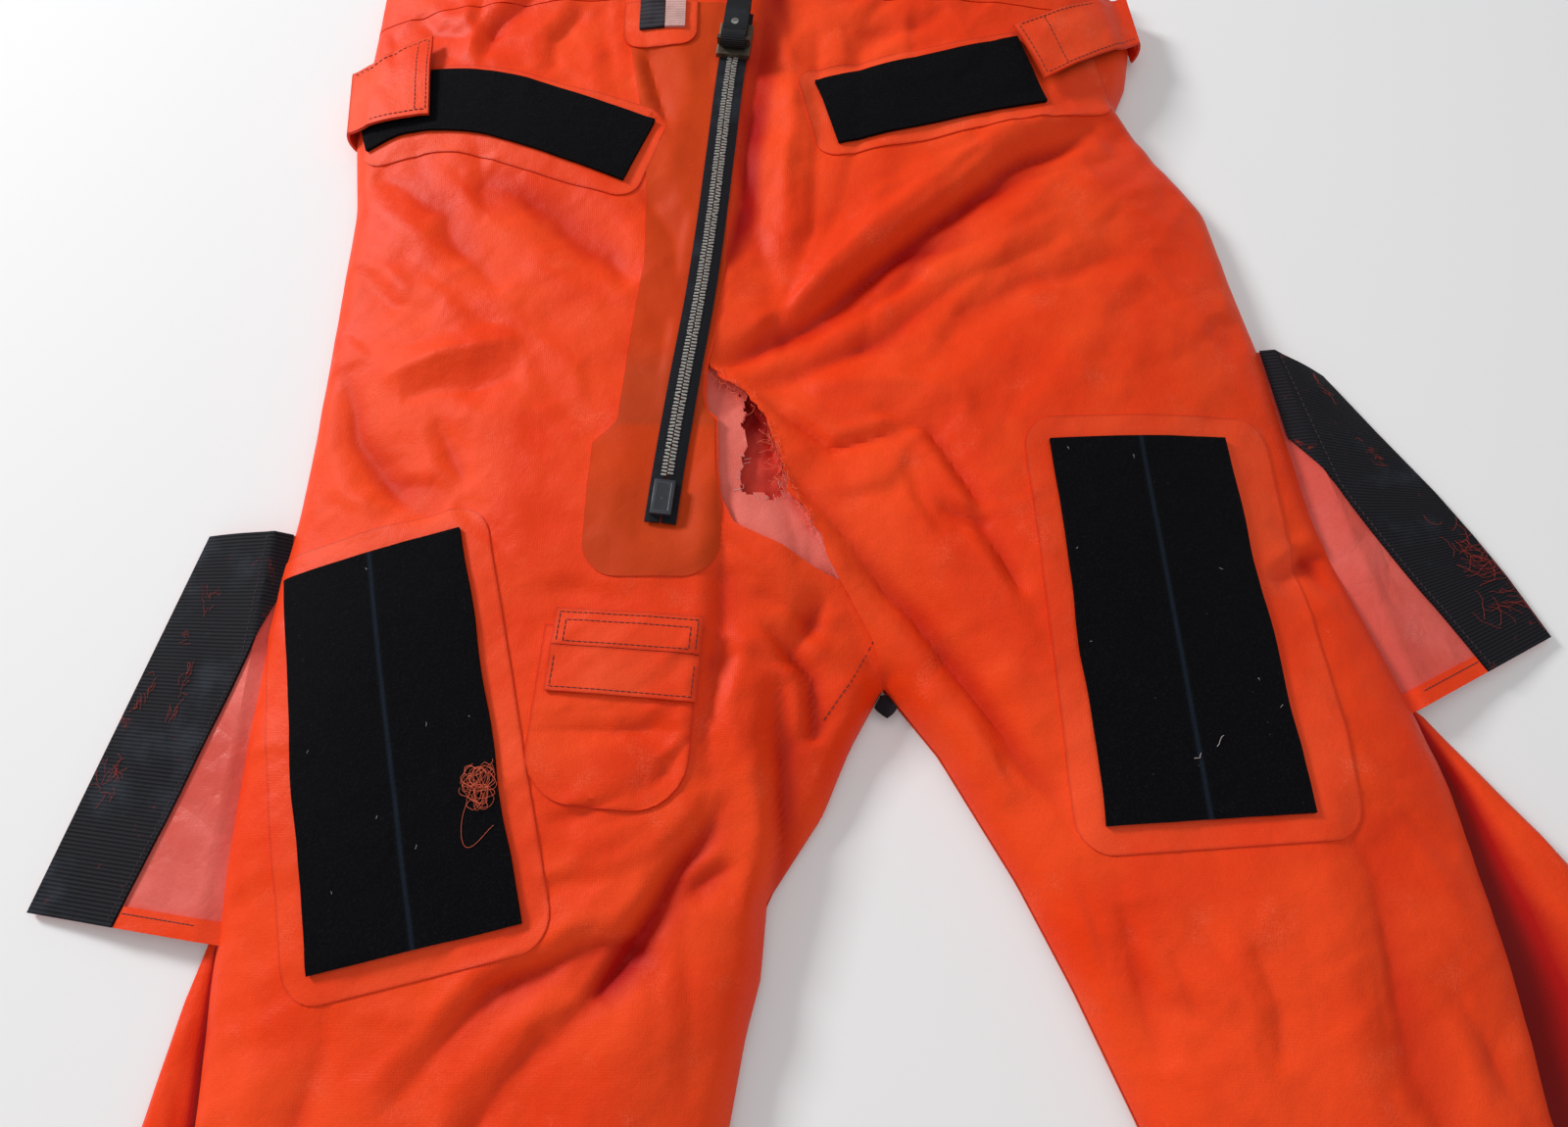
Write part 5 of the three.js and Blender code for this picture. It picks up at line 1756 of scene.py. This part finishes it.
def wingStitches(side):
    point, bandStart = wingPoint[side]
    places = []
    v, count = 0.034, 16  # the row along the hem
    for i in range(count):
        s = mix(0.02, float(bandStart(np.array(v))) - 0.02, (i + 0.5) / count)
        a, b = (np.array(point(np.array(s + d), np.array(v), 1.55)) for d in (-0.008, 0.008))
        places.append(betweenPoints(a, b))
    for i in range(60):
        v = 0.01 + 0.98 * (i + 0.5) / 60
        s = max(0.08, float(bandStart(np.array(v))) + 0.03)
        a, b = (np.array(point(np.array(s), np.array(v + d), 2.45)) for d in (-0.006, 0.006))
        places.append(betweenPoints(a, b))
    made = joinedCopies(side + "WingStitches", oneStitch, places)
    dress(made, darkThread, "wing_" + side, "shell")


for side in ("right", "left"):
    wingStitches(side)
print("leg wings made")


# loose threads, lint and frayed edges

def threads(name, routes, thick, material, body, slot):
    data = bpy.data.curves.new(name, "CURVE")
    data.dimensions = "3D"
    data.bevel_depth = thick / 2000
    data.bevel_resolution = 1
    data.resolution_u = 3
    for route in routes:
        spline = data.splines.new("POLY")
        spline.points.add(len(route) - 1)
        for knot, (x, y, z) in zip(spline.points, route):
            knot.co = (*toFrame(np.float64(x), np.float64(y), np.float64(z)), 1)
    piece = bpy.data.objects.new(name, data)
    bpy.context.collection.objects.link(piece)
    nothingSelected()
    piece.select_set(True)
    bpy.context.view_layer.objects.active = piece
    bpy.ops.object.convert(target="MESH")
    piece = bpy.context.object
    return dress(piece, material, body, slot)


def wandering(start, length, steps, height, seed, spread=0.9, drift=(0, 0), rise=0.0):
    r = np.random.default_rng(seed)
    heading = r.uniform(0, 2 * math.pi)
    x, y = start
    out = []
    for i in range(steps):
        t = i / max(1, steps - 1)
        out.append((x, y, float(height(np.float64(x), np.float64(y))) + rise * math.sin(math.pi * t) + 0.2))
        heading += r.normal(0, spread)
        x += math.cos(heading) * length / steps + drift[0]
        y += math.sin(heading) * length / steps + drift[1]
    return out


pileTop = lambda x, y: surface(x, y, layer["pile"])
def knotted(centre, reach, count, length, height, seed):
    r = np.random.default_rng(seed)
    out = []
    for _ in range(count):
        x, y = centre[0] + r.normal(0, reach[0] / 2), centre[1] + r.normal(0, reach[1] / 2)
        heading, route = r.uniform(0, 2 * math.pi), []
        for i in range(int(length / 1.2)):
            z = float(height(np.float64(x), np.float64(y))) + 0.3 + 1.6 * abs(math.sin(i * 0.21))
            route.append((x, y, z))
            home = math.atan2((centre[1] - y) / reach[1], (centre[0] - x) / reach[0])
            far = math.hypot((centre[0] - x) / reach[0], (centre[1] - y) / reach[1])
            turn = (home - heading + math.pi) % (2 * math.pi) - math.pi
            heading += r.normal(0, 0.35) + turn * min(0.6, 0.22 * far * far)
            x += 1.2 * math.cos(heading)
            y += 1.2 * math.sin(heading)
        out.append(route)
    return out


tangle = knotted((-191, -49), (8, 12), 11, 58, pileTop, 200)
loop = [(-190 - 8 * math.sin(t), -58 - 9 * (1 - math.cos(t)) + 4 * math.sin(2 * t), 0) for t in np.linspace(0, 4.3, 22)]
tangle.append([(x, y, float(pileTop(np.float64(x), np.float64(y))) + 0.4) for x, y, _ in loop])
threads("orangeThreadTangle", tangle, 0.2, orangeThread, "trousers", "shell")

hairs = []
for i in range(14):
    side = "right" if i % 2 else "left"
    a, b = rng.uniform(-46, 46), rng.uniform(-98, 98)
    r = math.radians(thigh[side]["turn"])
    cx, cy = thigh[side]["centre"]
    spot = (cx + a * math.cos(r) - b * math.sin(r), cy + a * math.sin(r) + b * math.cos(r))
    hairs.append(wandering(spot, rng.uniform(1.2, 3), 6, pileTop, 400 + i, 0.5, rise=0.3))
threads("pileLint", hairs, 0.16, paleThread, "trousers", "loop_pile")
threads("whiteLint", [
    wandering(
        (168, -30), 8, 9, pileTop, 512, 0.25, rise=0.6
    ), wandering((160, -33), 6, 9, pileTop, 514, 0.5, rise=0.6),
], 0.26, paleThread, "trousers", "loop_pile")

frays = []
for i in range(90):
    y = rng.uniform(84, 178)
    x = float(at("centreFront", y)) + rng.uniform(-1, 1.5)
    height = lambda px, py: surface(px, py, 0.4)
    frays.append(wandering((x, y), rng.uniform(3, 9), 8, height, 600 + i, 0.35, drift=(-0.4, -0.1), rise=0.8))
threads("tornEdgeFray", frays, 0.26, orangeThread, "trousers", "shell")

linerFray = []
for i in range(36):
    k = rng.integers(0, len(tear["hole"]))
    p, q = tear["hole"][k], tear["hole"][(k + 1) % len(tear["hole"])]
    t = rng.random()
    height = lambda px, py: surface(px, py, -3.2)
    linerFray.append(wandering((mix(p[0], q[0], t), mix(p[1], q[1], t)), rng.uniform(2, 6), 6, height, 700 + i, 0.4))
threads("linerFray", linerFray, 0.18, paleThread, "trousers", "inner")


def wingLint(side, spots):
    # red fluff caught in the hooks
    point = wingPoint[side][0]
    routes = []
    for k, (share, v, reach, count, length, lean) in enumerate(spots):
        r = np.random.default_rng(800 + k)
        for _ in range(count):
            s0, v0 = share + r.normal(0, reach[0]), v + r.normal(0, reach[1])
            heading, route = lean + r.normal(0, 0.45), []
            for i in range(9):
                s0 += math.cos(heading) * length / 9 / 85
                v0 += math.sin(heading) * length / 9 / 214
                heading += r.normal(0, 0.35)
                x, y, z = point(np.float64(min(s0, 0.985)), np.float64(min(max(v0, 0.01), 0.99)), 2.7)
                route.append((float(x), float(y), float(z) + 0.3))
            routes.append(route)
    threads(side + "WingLint", routes, 0.18, redThread, "wing_" + side, "shell")


wingLint(
    "right",
    [
        (0.66, 0.72, (0.05, 0.03), 5, 7, 0), (0.60, 0.79, (0.04, 0.02), 6, 6, 1),
        (0.56, 0.54, (0.03, 0.045), 14, 9, 1.7), (0.88, 0.53, (0.03, 0.03), 12, 8, 1.4),
        (0.86, 0.33, (0.04, 0.04), 16, 10, 1.6)
    ]
)
wingLint(
    "left",
    [
        (0.60, 0.70, (0.05, 0.03), 6, 8, 0), (0.80, 0.36, (0.07, 0.05), 22, 18, -0.8),
        (0.78, 0.22, (0.09, 0.06), 30, 22, -0.6), (0.62, 0.92, (0.08, 0.02), 9, 10, 0.3)
    ]
)
removeBase(oneStitch)
print("threads made")
